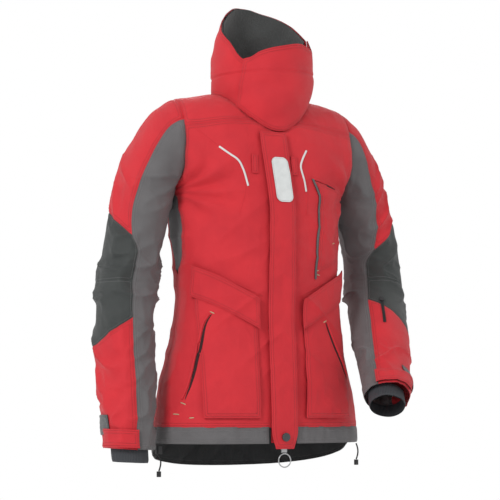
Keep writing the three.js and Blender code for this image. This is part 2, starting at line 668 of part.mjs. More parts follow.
const innerStormFlap = () => frontPatch(14, 3, (i, j) =>
  [lerp(-1, 1, j) * (FLAP_HALF_WIDTH - 5), lerp(HEM_SEAM_Z - HEM_BAND + 2, -92, i)],
-SHELL - 2.8, 1.2);

// A cylinder whose axis runs front to back, from one lift above the front surface to another.
function frontButton(diameter, x, z, from, to, sides = 24) {
  const near = frontPoint(x, z, 0);
  const geometry = new THREE.CylinderGeometry(diameter / 2, diameter / 2, to - from, sides);
  geometry.translate(x, near.y - (from + to) / 2, z);
  return geometry;
}

function slider(width, length, thickness, lift, z) {
  const seat = frontPoint(0, z, lift);
  const geometry = new THREE.BoxGeometry(width, thickness, length);
  geometry.translate(0, seat.y, z);
  return geometry;
}

function ringPull() {
  const seat = frontPoint(0, SLIDER_Z, RING_LIFT);
  const geometry = new THREE.TorusGeometry((RING_OUTER - RING_WIRE) / 2, RING_WIRE / 2, 8, 28);
  geometry.rotateX(Math.PI / 2);
  geometry.translate(0, seat.y, SLIDER_Z - SLIDER_LENGTH / 2 - LAYER_GAP - RING_OUTER / 2);
  return geometry;
}

// ---- Pockets ----

const pocketTop = (x) => lerp(POCKET_INNER_TOP_Z, POCKET_OUTER_TOP_Z,
  (x - POCKET_INNER_X) / (POCKET_OUTER_X - POCKET_INNER_X));
const POCKET_LIFT = POCKET_GAP + POCKET_THICKNESS;
const POCKET_FLAP_LIFT = POCKET_LIFT + 2 * LAYER_GAP + FLAP_THICKNESS;

const cargoPocket = (side) => frontPatch(8, 7, (i, j) => {
  const x = lerp(POCKET_INNER_X, POCKET_OUTER_X, j);
  return [side * x, lerp(POCKET_BOTTOM_Z, pocketTop(x) - 18, i)];
}, POCKET_LIFT, POCKET_THICKNESS);

const pocketFlap = (side) => frontPatch(4, 8, (i, j) => {
  const x = lerp(POCKET_INNER_X - 4, POCKET_OUTER_X + 4, j);
  return [side * x, pocketTop(x) - POCKET_FLAP_DEPTH * i];
}, POCKET_FLAP_LIFT, FLAP_THICKNESS);

const CHEST_POCKET_EDGE = [[-350, 80], [-286, 84], [-218, 88], [-188, 84], [-168, 73], [-160, 69]];
const CHEST_POCKET_OUTER_X = 149;
const CHEST_TRIM_WIDTH = 5;
const chestPocketEdge = (z) => through(CHEST_POCKET_EDGE, z);
const chestPocketBottom = (j) => lerp(-350, -322, j);

const chestPocket = () => frontPatch(10, 5, (i, j) => {
  const z = lerp(chestPocketBottom(j), lerp(-164, -176, j), i);
  return [lerp(chestPocketEdge(z) + CHEST_TRIM_WIDTH + LAYER_GAP, CHEST_POCKET_OUTER_X, j), z];
}, LAYER_GAP + 2, 2);

const chestPocketTrim = () => frontPatch(12, 1, (i, j) => {
  const z = lerp(-362, -160, i);
  return [chestPocketEdge(z) + CHEST_TRIM_WIDTH * j, z];
}, LAYER_GAP + 1.4, 1.4);

const chestLoop = (from) => frontPatch(3, 2, (i, j) =>
  [from + 13 * j, lerp(-156, -118, i)], LAYER_GAP + 2, 2);

// ---- Hem cords ----

const CORD_Z = HEM_SEAM_Z - HEM_BAND - 4;
const RIGHT_CORD = lowerPoint(-84, CORD_Z);
const LEFT_CORD = lowerPoint(78, CORD_Z);
const LOCK_HEIGHT = 16;
const BEAD_HEIGHT = 11;

function upright(radius, height, seat, top, sides = 16) {
  const geometry = new THREE.CylinderGeometry(radius, radius, height, sides);
  geometry.rotateX(Math.PI / 2);
  geometry.translate(seat.x, seat.y, top - height / 2);
  return geometry;
}

function hemCord(seat, top) {
  const points = [0, 0.33, 0.67, 1].map((share) =>
    v3(seat.x + 3 * Math.sin(Math.PI * share), seat.y - 2 * Math.sin(Math.PI * share), top - CORD_LENGTH * share));
  const section = new THREE.Shape().absarc(0, 0, CORD_DIAMETER / 2, 0, 2 * Math.PI);
  return new THREE.ExtrudeGeometry(section, {
    steps: 6, curveSegments: 4, bevelEnabled: false, extrudePath: new THREE.CatmullRomCurve3(points),
  });
}

// ---- Cuffs ----

const HOOK_LIFT = LAYER_GAP + 1.2;
const TAB_LIFT = HOOK_LIFT + LAYER_GAP + 2.4;
const TAB_FROM = -4;
const TAB_TO = 92;

function armLayer(arm, rows, columns, t, psi, lift, thickness) {
  const points = grid(rows, columns, (i, j) =>
    arm.point(lerp(...t, i), lerp(...psi, j) + arm.twist(ELBOW)));
  const core = (p, i) => arm.centre(lerp(...t, i / rows));
  return sheet(points, thickness, { core, lift });
}

function cuffSeal(arm) {
  const rows = grid(3, 17, (i, j) =>
    arm.point(WRIST, j * 340, SEAL_RADIUS - CUFF_RADIUS, lerp(-8, SEAL_LENGTH, i)));
  return sheet(rows, 2.4, { wrap: true, core: () => arm.centre(WRIST) });
}

function addCuff(arm, name) {
  add(`${name}_cuff_hook_patch`, armLayer(arm, 2, 4, [WRIST - 0.8, WRIST - 0.32], [-44, 22],
    HOOK_LIFT, 1.2), BLACK, 0.9);
  add(`${name}_cuff_tab`, armLayer(arm, 2, 8, [WRIST - 0.46, WRIST - 0.03], [TAB_FROM, TAB_TO],
    TAB_LIFT, 2.4), RED);
  add(`${name}_cuff_seal`, cuffSeal(arm), BLACK, 0.7);
}

add("right_front_panel", frontPanel(-1), RED);
add("left_front_panel", frontPanel(1), RED);
add("back_panel", backPanel(), RED);
add("right_side_panel", sidePanel(-1), GREY);
add("left_side_panel", sidePanel(1), GREY);
add("right_shoulder_panel", shoulderPanel(-1), RED);
add("left_shoulder_panel", shoulderPanel(1), RED);
add("right_shoulder_reflector", shoulderReflector(-1), WHITE, 0.4);
add("left_shoulder_reflector", shoulderReflector(1), WHITE, 0.4);
add("right_hem_band", hemBand(-1), GREY);
add("left_hem_band", hemBand(1), GREY);
add("back_tail", backTail(), GREY);
add("body_lining", bodyLining(), BLACK, 0.9);
add("collar_shell", collarSheet(COLLAR_HINGE_ANGLE, COLLAR_UNDERLAP + 360, 28, COLLAR_SHELL, 0), RED);
add("collar_flap", collarSheet(COLLAR_FREE_ANGLE, COLLAR_HINGE_ANGLE - 1.5, 14, COLLAR_SHELL,
  COLLAR_FLAP_LIFT), RED);
add("collar_lining", collarSheet(COLLAR_HINGE_ANGLE + 2, COLLAR_UNDERLAP + 358, 24, COLLAR_LINING,
  -COLLAR_SHELL - LAYER_GAP, [0.1, 0.985]), BLACK, 0.95);
add("hanging_loop", hangingLoop(), BLACK);
add("storm_flap", stormFlap(), RED);
add("front_reflector", frontReflector(), WHITE, 0.4);
add("snap_cap", frontButton(SNAP_DIAMETER, 0, SNAP_Z, FLAP_LIFT + 0.5, FLAP_LIFT + 3.5), BLACK, 0.4, 0.6);
add("snap_stud", frontButton(SNAP_DIAMETER * 0.7, 0, SNAP_Z, -SHELL - 0.4, -SHELL + 0.2), STEEL, 0.4, 0.8);
add("right_zip_tape", zipTape(-1), BLACK, 0.8);
add("left_zip_tape", zipTape(1), BLACK, 0.8);
add("inner_storm_flap", innerStormFlap(), RED);
add("bottom_slider", slider(SLIDER_WIDTH, SLIDER_LENGTH, 3.2, 0.6, SLIDER_Z), STEEL, 0.35, 0.9);
add("ring_pull", ringPull(), STEEL, 0.35, 0.9);
for (const [name, side] of [["right", -1], ["left", 1]]) {
  add(`${name}_cargo_pocket`, cargoPocket(side), RED);
  add(`${name}_pocket_flap`, pocketFlap(side), RED);
}
add("chest_pocket", chestPocket(), RED);
add("chest_pocket_trim", chestPocketTrim(), GREY);
add("right_chest_loop", chestLoop(-64), RED);
add("left_chest_loop", chestLoop(22), RED);
add("right_cord_lock", upright(6.5, LOCK_HEIGHT, RIGHT_CORD, CORD_Z), BLACK, 0.5);
add("right_hem_cord", hemCord(RIGHT_CORD, CORD_Z - LOCK_HEIGHT - LAYER_GAP), BLACK, 0.8);
add("right_cord_bead", upright(4.5, BEAD_HEIGHT, RIGHT_CORD, CORD_Z - LOCK_HEIGHT - CORD_LENGTH - 2 * LAYER_GAP), BLACK, 0.5);
add("left_hem_cord", hemCord(LEFT_CORD, CORD_Z), BLACK, 0.8);
add("left_cord_bead", upright(4.5, BEAD_HEIGHT, LEFT_CORD, CORD_Z - CORD_LENGTH - LAYER_GAP), BLACK, 0.5);
addSleeve(rightArm, "right");
addCuff(rightArm, "right");
addSleeve(leftArm, "left");
addCuff(leftArm, "left");
add("sleeve_zip", armLayer(leftArm, 6, 1, [ELBOW + 1.1, ELBOW + 2.3], [56, 62], LAYER_GAP + 1, 1), BLACK, 0.7);
add("sleeve_zip_slider", armLayer(leftArm, 1, 1, [ELBOW + 1.12, ELBOW + 1.3], [55, 63],
  2 * LAYER_GAP + 4, 3), BLACK, 0.5);

export default jacket;
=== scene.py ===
"""A foul weather jacket, piece by piece, from the hem cords and the shell to the zips.

Metres throughout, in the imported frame: +Z up, +X towards the wearer's left, -Y to the front.
"""
import json
import math

import bmesh
import bpy
import numpy as np
from mathutils import Matrix, Vector
from mathutils.bvhtree import BVHTree


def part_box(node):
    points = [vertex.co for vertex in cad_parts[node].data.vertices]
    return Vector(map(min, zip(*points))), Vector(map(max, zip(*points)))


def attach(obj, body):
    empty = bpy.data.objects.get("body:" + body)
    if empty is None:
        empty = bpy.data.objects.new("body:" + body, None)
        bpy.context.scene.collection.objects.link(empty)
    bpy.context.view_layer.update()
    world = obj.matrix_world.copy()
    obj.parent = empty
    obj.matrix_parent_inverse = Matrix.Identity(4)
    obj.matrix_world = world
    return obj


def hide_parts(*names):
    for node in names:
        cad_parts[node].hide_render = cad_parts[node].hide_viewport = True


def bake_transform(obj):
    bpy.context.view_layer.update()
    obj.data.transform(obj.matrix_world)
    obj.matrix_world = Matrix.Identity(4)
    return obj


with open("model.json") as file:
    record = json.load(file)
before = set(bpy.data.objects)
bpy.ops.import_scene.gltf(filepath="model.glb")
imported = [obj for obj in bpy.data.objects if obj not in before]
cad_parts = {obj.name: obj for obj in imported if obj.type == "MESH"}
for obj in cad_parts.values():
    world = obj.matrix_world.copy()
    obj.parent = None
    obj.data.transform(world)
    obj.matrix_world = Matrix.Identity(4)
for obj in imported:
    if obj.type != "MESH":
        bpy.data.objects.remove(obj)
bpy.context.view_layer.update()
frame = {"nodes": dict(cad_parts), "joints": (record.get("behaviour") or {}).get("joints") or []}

# ---- Studio ----
# A pale floor and sweep, soft light from both sides and above, and the camera at hem height,
# a little to the wearer's right of straight ahead.

CAMERA_AZIMUTH = math.radians(-26)
CAMERA_DISTANCE = 3.5
CAMERA_Z = -0.6
SENSOR = 36
FIELD = 1.025
SIDE_SHIFT = -0.0062
AIM_Z = -0.297
FLOOR_Z = -1.35
ROOM_LIGHT = 0.66
LIT_POINT = (0, 0, -0.3)

bpy.context.scene.view_settings.view_transform = "Standard"
camera_data = bpy.data.cameras.new("studio_camera")
camera = bpy.data.objects.new("studio_camera", camera_data)
bpy.context.scene.collection.objects.link(camera)
camera.location = (
    math.sin(CAMERA_AZIMUTH) * CAMERA_DISTANCE,
    -math.cos(CAMERA_AZIMUTH) * CAMERA_DISTANCE,
    CAMERA_Z,
)
camera.rotation_euler = (math.pi / 2 + math.atan2(AIM_Z - CAMERA_Z, CAMERA_DISTANCE), 0, CAMERA_AZIMUTH)
camera_data.sensor_width = SENSOR
camera_data.lens = SENSOR * CAMERA_DISTANCE / FIELD
camera_data.shift_x = SIDE_SHIFT
bpy.context.scene.camera = camera

world = bpy.data.worlds.new("studio_world")
bpy.context.scene.world = world
world.use_nodes = True
backdrop = world.node_tree.nodes["Background"]
backdrop.inputs["Color"].default_value = (1, 1, 1, 1)
seen = world.node_tree.nodes.new("ShaderNodeLightPath").outputs["Is Camera Ray"]
shade = world.node_tree.nodes.new("ShaderNodeMapRange")
shade.inputs["To Min"].default_value = ROOM_LIGHT
shade.inputs["To Max"].default_value = 1.0
world.node_tree.links.new(seen, shade.inputs["Value"])
world.node_tree.links.new(shade.outputs["Result"], backdrop.inputs["Strength"])


def lamp(name, place, size, power):
    """A soft square light that faces the jacket's chest."""
    data = bpy.data.lights.new(name, "AREA")
    data.energy = power
    data.size = size
    light = bpy.data.objects.new(name, data)
    bpy.context.scene.collection.objects.link(light)
    light.location = place
    light.rotation_euler = (Vector(LIT_POINT) - Vector(place)).to_track_quat("-Z", "Y").to_euler()


lamp("key_light", (-2.9, -1.5, 1.2), 0.9, 48)
lamp("fill_light", (1.6, -3.0, 1.0), 1.4, 10)
lamp("back_light", (1.4, 2.6, 1.6), 1.4, 26)

bpy.ops.object.select_all(action="DESELECT")
bpy.ops.mesh.primitive_circle_add(vertices=64, radius=9, fill_type="NGON", location=(0, 0, FLOOR_Z))
floor = bpy.context.object
floor.name = "studio_floor"
floor_material = bpy.data.materials.new("studio_paper")
floor_material.use_nodes = True
floor_material.node_tree.nodes["Principled BSDF"].inputs["Base Color"].default_value = (0.9, 0.9, 0.9, 1)
floor_material.node_tree.nodes["Principled BSDF"].inputs["Roughness"].default_value = 0.9
floor.data.materials.append(floor_material)

# ---- Hem drawcords ----
# A braided elastic cord runs in the hem and comes out at each side in a short tail that ends in a
# moulded bead. The wearer's right one passes through a lock first.


class Value:
    """A shader socket that can be used in sums."""

    def __init__(self, finish, socket):
        self.finish = finish
        self.socket = socket

    def _sum(self, operation, first, second):
        return self.finish.node("ShaderNodeMath", {"operation": operation}, {0: first, 1: second})

    def __add__(self, other):
        return self._sum("ADD", self, other)

    def __radd__(self, other):
        return self._sum("ADD", other, self)

    def __sub__(self, other):
        return self._sum("SUBTRACT", self, other)

    def __rsub__(self, other):
        return self._sum("SUBTRACT", other, self)

    def __mul__(self, other):
        return self._sum("MULTIPLY", self, other)

    def __rmul__(self, other):
        return self._sum("MULTIPLY", other, self)

    def __truediv__(self, other):
        return self._sum("DIVIDE", self, other)

    def __lt__(self, other):
        return self._sum("LESS_THAN", self, other)

    def __gt__(self, other):
        return self._sum("GREATER_THAN", self, other)

    def function(self, operation, other=0.0):
        return self._sum(operation, self, other)


class Finish:
    """A material: its shader's constants are set at once, and its patterns are added as sums of nodes."""

    def __init__(self, name, **constants):
        self.material = bpy.data.materials.new(name)
        self.material.use_nodes = True
        self.tree = self.material.node_tree
        self.shader = self.tree.nodes["Principled BSDF"]
        for socket, value in constants.items():
            self.shader.inputs[socket.replace("_", " ")].default_value = value

    def node(self, kind, settings=None, sockets=None, output=0):
        node = self.tree.nodes.new(kind)
        for key, value in (settings or {}).items():
            if key == "stops":
                while len(node.color_ramp.elements) < len(value):
                    node.color_ramp.elements.new(0.5)
                for element, (position, colour) in zip(node.color_ramp.elements, value):
                    element.position = position
                    element.color = colour
            else:
                setattr(node, key, value)
        for key, value in (sockets or {}).items():
            if isinstance(value, Value):
                self.tree.links.new(value.socket, node.inputs[key])
            else:
                node.inputs[key].default_value = value
        return Value(self, node.outputs[output])

    def attribute(self, name):
        return self.node("ShaderNodeAttribute", {"attribute_name": name}, output="Fac")

    def place(self, scale=(1, 1, 1), turn=(0, 0, 0)):
        coordinates = self.node("ShaderNodeTexCoord", output="Object")
        return self.node("ShaderNodeMapping", {}, {"Vector": coordinates, "Scale": scale, "Rotation": turn})

    def noise(self, size, detail=2, place=None, roughness=0.5):
        return self.node("ShaderNodeTexNoise", {}, {
            "Vector": place or self.place(), "Scale": 1 / size, "Detail": detail, "Roughness": roughness,
        })

    def mix(self, share, first, second):
        return self.node("ShaderNodeMix", {"data_type": "RGBA"}, {0: share, 6: first, 7: second}, output=2)

    def weave(self):
        """How far across and how far down its cloth a point lies, in metres."""
        place = self.node("ShaderNodeUVMap", {"uv_map": "weave"})
        across = self.node("ShaderNodeSeparateXYZ", {}, {"Vector": place})
        return across, Value(self, across.socket.node.outputs["Y"])

    def feed(self, socket, value):
        self.tree.links.new(value.socket, self.shader.inputs[socket])

    def bump(self, height, distance, strength=1.0):
        self.feed("Normal", self.node("ShaderNodeBump", {}, {
            "Height": height, "Distance": distance, "Strength": strength,
        }))


def braided_cord_finish():
    finish = Finish("braided_cord", Roughness=0.85)
    braid = finish.node("ShaderNodeTexWave", {"wave_type": "BANDS", "bands_direction": "DIAGONAL"}, {
        "Vector": finish.place(), "Scale": 260, "Distortion": 0.6,
    })
    finish.feed("Base Color", finish.mix(braid, (0.012, 0.012, 0.013, 1), (0.05, 0.05, 0.052, 1)))
    finish.bump(braid, 0.0004)
    return finish.material


def link(name, mesh):
    piece = bpy.data.objects.new(name, mesh)
    bpy.context.scene.collection.objects.link(piece)
    return piece


def smooth_faces(piece):
    piece.data.polygons.foreach_set("use_smooth", [True] * len(piece.data.polygons))


def tube_faces(rows, sides):
    """The faces of a tube of rings of points, with both its ends closed."""
    faces = []
    for i in range(rows - 1):
        for j in range(sides):
            k = (j + 1) % sides
            faces.append((i * sides + j, i * sides + k, (i + 1) * sides + k, (i + 1) * sides + j))
    return faces + [tuple(range(sides))[::-1], tuple(range((rows - 1) * sides, rows * sides))]


def tube(name, path, radius, sides=12):
    """A round cord along a list of points, closed at both ends."""
    points = np.array(path, float)
    tangents = np.gradient(points, axis=0)
    tangents /= np.linalg.norm(tangents, axis=1)[:, None]
    side = np.cross(tangents, (0, 1, 0))
    side /= np.linalg.norm(side, axis=1)[:, None]
    other = np.cross(tangents, side)
    turn = np.linspace(0, 2 * math.pi, sides, endpoint=False)
    rings = points[:, None] + radius * (
        np.cos(turn)[None, :, None] * side[:, None] + np.sin(turn)[None, :, None] * other[:, None]
    )
    mesh = bpy.data.meshes.new(name)
    mesh.from_pydata(rings.reshape(-1, 3).tolist(), [], tube_faces(len(points), sides))
    piece = link(name, mesh)
    face_outwards(piece)
    smooth_faces(piece)
    return piece


def face_outwards(piece):
    bm = bmesh.new()
    bm.from_mesh(piece.data)
    bmesh.ops.recalc_face_normals(bm, faces=bm.faces)
    bm.to_mesh(piece.data)
    bm.free()


CORD_DIAMETER = 0.003
CORD_SPREAD = (0.003, -0.002)
CORD_POINTS = 18
cord_material = braided_cord_finish()
for side in ("right", "left"):
    low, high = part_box(f"{side}_hem_cord")
    sway = np.sin(np.pi * np.linspace(0, 1, CORD_POINTS))
    path = np.stack([
        low.x + CORD_DIAMETER / 2 + CORD_SPREAD[0] * sway,
        high.y - CORD_DIAMETER / 2 + CORD_SPREAD[1] * sway,
        np.linspace(high.z, low.z, CORD_POINTS),
    ], axis=1)
    hem_cord = tube(f"{side}_hem_drawcord", path, CORD_DIAMETER / 2)
    hem_cord.data.materials.append(cord_material)
    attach(hem_cord, "body")
    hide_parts(f"{side}_hem_cord")

# ---- Front and back shell panels ----
# Coated woven nylon cut in four fronts, sides and a back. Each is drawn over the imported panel's outer
# face, pushed into soft folds, turned in at its edges and topstitched beside the seams.

SHELL_THICKNESS = 0.002
WEAVE_STEP = 0.0045
SEAM_TURN = 0.0014
SEAM_WIDTH = 0.0032
STITCH_ROWS = (0.0035, 0.0085)
STITCH_PITCH = 0.0036
STITCH_GAP = -0.55
CORE_TOP_Z = -0.126
CORE_WIDTH = 0.55
CORE_Y = -0.01
CREASE_ANGLE = 58
WAIST_Z = -0.40
ARMPIT_FOLDS = (0.19, -0.19)
FOLD_DEPTH = 1.25


def gentle_noise(points, seed=0):
    """Smooth noise from -1 to 1, the same each time."""
    cell = np.floor(points).astype(np.int64)
    part = points - cell
    ease = part * part * part * (part * (part * 6 - 15) + 10)
    total = np.zeros(points.shape[:-1])
    for corner in np.ndindex(2, 2, 2):
        at = cell + corner
        mark = at[..., 0] * 374761393 + at[..., 1] * 668265263 + at[..., 2] * 2147483647 + seed * 1274126177
        mark = (mark ^ (mark >> 13)) * 1274126177 & 0x7FFFFFFF
        mark = (mark ^ (mark >> 16)) & 0xFFFF
        weight = np.prod(np.where(np.array(corner) == 1, ease, 1 - ease), axis=-1)
        total += weight * (mark / 32767.5 - 1)
    return total


def packed_grid(node, core, down=(0, 0, -1)):
    """The outer face of a packed panel as rows of points, from its top edge down and from -X to +X."""
    bm = bmesh.new()
    bm.from_mesh(frame["nodes"][node].data)
    bmesh.ops.remove_doubles(bm, verts=bm.verts, dist=1e-5)
    bm.faces.ensure_lookup_table()
    bm.verts.ensure_lookup_table()
    spread = [None] * len(bm.faces)
    patches = []
    for first in bm.faces:
        if spread[first.index] is not None:
            continue
        spread[first.index] = len(patches)
        patch, stack = [], [first]
        while stack:
            face = stack.pop()
            patch.append(face)
            for edge in face.edges:
                if len(edge.link_faces) == 2 and edge.calc_face_angle(math.pi) < math.radians(CREASE_ANGLE):
                    for near in edge.link_faces:
                        if spread[near.index] is None:
                            spread[near.index] = len(patches)
                            stack.append(near)
        patches.append(patch)
    patches.sort(key=lambda patch: -sum(face.calc_area() for face in patch))

    def outwards(patch):
        return sum(
            face.calc_area() * face.normal.dot(middle - Vector(core(np.array(middle))))
            for face in patch for middle in [face.calc_center_median()]
        )

    patch = max(patches[:2], key=outwards)
    triangles = [tuple(v.index for v in face.verts) for face in patch]
    owners = {}
    for number, triangle in enumerate(triangles):
        for a, b in zip(triangle, triangle[1:] + triangle[:1]):
            owners.setdefault(frozenset((a, b)), []).append(number)
    touching = {}
    for triangle in triangles:
        for v in triangle:
            touching[v] = touching.get(v, 0) + 1
    rim = {}
    for edge, numbers in owners.items():
        if len(numbers) == 1:
            a, b = sorted(edge)
            rim.setdefault(a, []).append(b)
            rim.setdefault(b, []).append(a)
    corners = sorted(v for v in rim if touching[v] == 2)

    def walk(start, towards):
        chain = [start, towards]
        while chain[-1] != start:
            a, b = rim[chain[-1]]
            chain.append(a if a != chain[-2] else b)
        return chain[:-1]

    def next_row(row, closed=False):
        thirds = []
        pairs = list(zip(row, row[1:] + row[:1])) if closed else list(zip(row, row[1:]))
        for pair in pairs:
            for number in owners[frozenset(pair)]:
                if number not in used:
                    used.add(number)
                    thirds.append(next(v for v in triangles[number] if v not in pair))
                    break
        return thirds

    used = set()

    def cross_off(row, new):
        near = set(row)
        for pair in zip(new, new[1:]):
            used.update(n for n in owners.get(frozenset(pair), []) if near & set(triangles[n]))

    if corners:
        loop = walk(corners[0], sorted(rim[corners[0]])[0])
        ends = [i for i, v in enumerate(loop) if touching[v] < 3]
        rows = [loop[:ends[1] + 1]]
        for first in loop[:ends[3] - 1:-1]:
            new = [first] + next_row(rows[-1])
            cross_off(rows[-1], new)
            rows.append(new)
    else:
        start = min(rim)
        rows = [walk(start, sorted(rim[start])[0])]
        while len(used) < len(triangles):
            thirds = next_row(rows[-1], True)
            shifted = thirds[-1:] + thirds[:-1]
            points = [bm.verts[v].co for v in rows[-1]]
            near, far = (
                sum((bm.verts[v].co - p).length for v, p in zip(row, points)) for row in (thirds, shifted)
            )
            new = thirds if near < far else shifted
            cross_off(rows[-1], new + new[:1])
            rows.append(new)
        rows = [row + row[:1] for row in rows]
    grid = np.array([[bm.verts[v].co[:] for v in row] for row in rows])
    bm.free()
    fall = (grid[-1].mean(0) - grid[0].mean(0)) @ down
    lean = (grid[:, -1].mean(0) - grid[:, 0].mean(0)) @ down
    if corners and abs(fall) < abs(lean):
        grid, fall = grid.transpose(1, 0, 2), lean
    if fall < 0:
        grid = grid[::-1]
    if corners and grid[:, 0].mean(0)[0] > grid[:, -1].mean(0)[0]:
        grid = grid[:, ::-1]
    return grid


def spline(points, stations, at):
    """Points on a smooth line through points, and straight on past its ends."""
    slopes = np.empty_like(points)
    slopes[1:-1] = (points[2:] - points[:-2]) / (stations[2:] - stations[:-2])[:, None, None]
    slopes[0] = (points[1] - points[0]) / (stations[1] - stations[0])
    slopes[-1] = (points[-1] - points[-2]) / (stations[-1] - stations[-2])
    inside = np.clip(at, stations[0], stations[-1])
    k = np.clip(np.searchsorted(stations, inside, side="right") - 1, 0, len(stations) - 2)
    step = (stations[k + 1] - stations[k])[:, None, None]
    t = ((inside - stations[k])[:, None, None]) / step
    u = 1 - t
    line = (points[k] * (1 + 2 * t) * u * u + slopes[k] * step * t * u * u
            + points[k + 1] * (3 - 2 * t) * t * t - slopes[k + 1] * step * t * t * u)
    beyond = (at - inside)[:, None, None]
    return line + beyond * np.where(beyond < 0, slopes[0], slopes[-1])


def lengths(grid):
    """The mean distance of each row from the first."""
    steps = np.linalg.norm(np.diff(grid, axis=0), axis=2).mean(1)
    return np.concatenate([[0], np.cumsum(steps)])


def finer(grid, step, spare=(0, 0, 0, 0)):
    """The same surface with its points about a step apart.

    It is let out by spare at its top, bottom, -X and +X edges.
    """
    for turn in (0, 1):
        stations = lengths(grid)
        low, high = spare[2 * turn:2 * turn + 2]
        count = max(3, round((stations[-1] + low + high) / step) + 1)
        grid = spline(grid, stations, np.linspace(-low, stations[-1] + high, count)).transpose(1, 0, 2)
    return grid


def normals_of(grid, core):
    """Unit directions out of the cloth at each of its points."""
    across = np.gradient(grid, axis=1)
    down = np.gradient(grid, axis=0)
    normals = np.cross(across, down)
    normals /= np.linalg.norm(normals, axis=2)[..., None] + 1e-12
    out = grid - core(grid)
    return normals * (1 if (normals * out).sum() > 0 else -1)


def torso_core(points):
    """The place inside the torso that each point of its shell faces away from."""
    points = np.asarray(points, float)
    z = np.minimum(points[..., 2], CORE_TOP_Z)
    return np.stack([points[..., 0] * CORE_WIDTH, np.full(z.shape, CORE_Y), z], axis=-1)


def directions_out(points, core):
    out = points - core(points)
    return out / (np.linalg.norm(out, axis=-1)[..., None] + 1e-12)


def runs_over(grid, axis):
    """How far each point lies from the grid's first row, for axis 0, or first column, for axis 1."""
    steps = np.diff(grid, axis=axis, prepend=np.take(grid, [0], axis=axis))
    return np.cumsum(np.linalg.norm(steps, axis=2), axis=axis)


def run_of(row):
    """How far along a row each of its points lies."""
    return np.concatenate([[0], np.cumsum(np.linalg.norm(np.diff(row, axis=0), axis=1))])


def edge_distances(grid, seams):
    """For each point its distance to the nearest sewn edge, and how far along that edge it is."""
    down, across = runs_over(grid, 0), runs_over(grid, 1)
    choices = np.stack([down, down[-1] - down, across, across[:, -1:] - across])
    choices = choices + np.where(seams, 0.0, 1.0)[:, None, None]
    nearest = choices.argmin(0)
    return choices.min(0), np.where(nearest < 2, across, down)


def torso_folds(points):
    """How far the shell stands out in folds: drape, slack at the waist, pulls at the armholes."""
    x, y, z = np.moveaxis(points, -1, 0)
    side = np.abs(x)
    soft = 0.0020 * gentle_noise(points / (0.085, 0.12, 0.13))
    drape = 0.0016 * gentle_noise(points / (0.042, 0.07, 0.21) + 7.3)
    slant = x * np.sign(x) * 0.8 + z
    cross = 1 - np.abs(gentle_noise(np.stack([slant / 0.055, y / 0.1, (side - z) / 0.26], -1), 3))
    waist = np.exp(-((z - WAIST_Z) / 0.13) ** 2)
    pulls = 0.0042 * (cross ** 3 - 0.35) * (0.25 + 0.75 * waist)
    inward, above = ARMPIT_FOLDS[0] - side, z - ARMPIT_FOLDS[1]
    reach = np.hypot(inward, above)
    swirl = np.cos(np.arctan2(above, inward) * 9 + 2 * gentle_noise(points / 0.08))
    armpit = 0.0030 * np.exp(-((reach - 0.06) / 0.05) ** 2) * swirl
    creases = 0.0007 * (1 - np.abs(gentle_noise(points / (0.02, 0.03, 0.035), 5))) ** 4
    return FOLD_DEPTH * (soft + drape + pulls + armpit + creases)


def lengths_over(rows):
    """The longest run across a grid of points, from its first row to its last."""
    return np.linalg.norm(np.diff(rows, axis=0), axis=2).sum(0).max()


def area_of(rows):
    """The area that a grid of points covers."""
    first = np.cross(rows[1:, :-1] - rows[:-1, :-1], rows[:-1, 1:] - rows[:-1, :-1])
    second = np.cross(rows[1:, :-1] - rows[1:, 1:], rows[:-1, 1:] - rows[1:, 1:])
    return float(np.linalg.norm(first, axis=2).sum() + np.linalg.norm(second, axis=2).sum()) / 2


class Cloth:
    """A cut of cloth drawn over a packed panel: a grid of points with its folds, edges and flat size."""

    def __init__(self, node, core, folds, step=WEAVE_STEP, spare=(0, 0, 0, 0), down=(0, 0, -1), onto=None,
                 seams=(True, True, True, True)):
        rows = packed_grid(node, core, down)
        self.core = core
        if onto is not None:
            rows = np.concatenate([finer_row(onto, rows.shape[1])[None], rows])
        self.base = finer(rows, step, spare)
        self.edge, self.run = edge_distances(self.base, seams)
        self.folds = folds
        self.grid = self.base
        self.start = 0

    def drape(self, turn=SEAM_TURN, width=SEAM_WIDTH, pucker=0.0005):
        """Moves the cloth out into its folds, and in at its edges."""
        amount = self.folds(self.base)
        amount = amount - turn * np.exp(-((self.edge / width) ** 2))
        amount = amount + pucker * gentle_noise(self.base / 0.011, 9) * np.exp(-((self.edge / 0.012) ** 2))
        self.grid = self.base + directions_out(self.base, self.core) * amount[..., None]
        self.normals = normals_of(self.grid, self.core)
        return self

    def meet(self, seam, reach):
        """Brings the cloth's first rows over to the seam that it is sewn into."""
        gaps = np.linalg.norm(seam[None] - self.grid[0][:, None], axis=2)
        shift = seam[gaps.argmin(1)] - self.grid[0]
        for _ in range(3):
            shift[1:-1] = (shift[:-2] + shift[1:-1] * 2 + shift[2:]) / 4
        weight = np.clip(1 - runs_over(self.base, 0) / reach, 0, 1)
        weight = weight * weight * (3 - 2 * weight)
        self.grid = self.grid + shift[None] * weight[..., None]
        self.normals = normals_of(self.grid, self.core)
        return self

    def cut(self):
        """The width, length and area that this cloth was cut to, before its folds."""
        flat = self.base[self.start:self.start + len(self.grid)]
        return float(lengths_over(flat.transpose(1, 0, 2))), float(lengths_over(flat)), area_of(flat)

    def rows(self, first, last):
        """The part of this cloth between two rows."""
        part = object.__new__(Cloth)
        part.__dict__.update(self.__dict__)
        part.grid, part.normals, part.edge, part.run = (
            a[first:last] for a in (self.grid, self.normals, self.edge, self.run)
        )
        part.start = first
        return part


def finer_row(row, count):
    """One row of points with another number of points."""
    stations = run_of(row)
    return spline(row[:, None], stations, np.linspace(0, stations[-1], count))[:, 0]


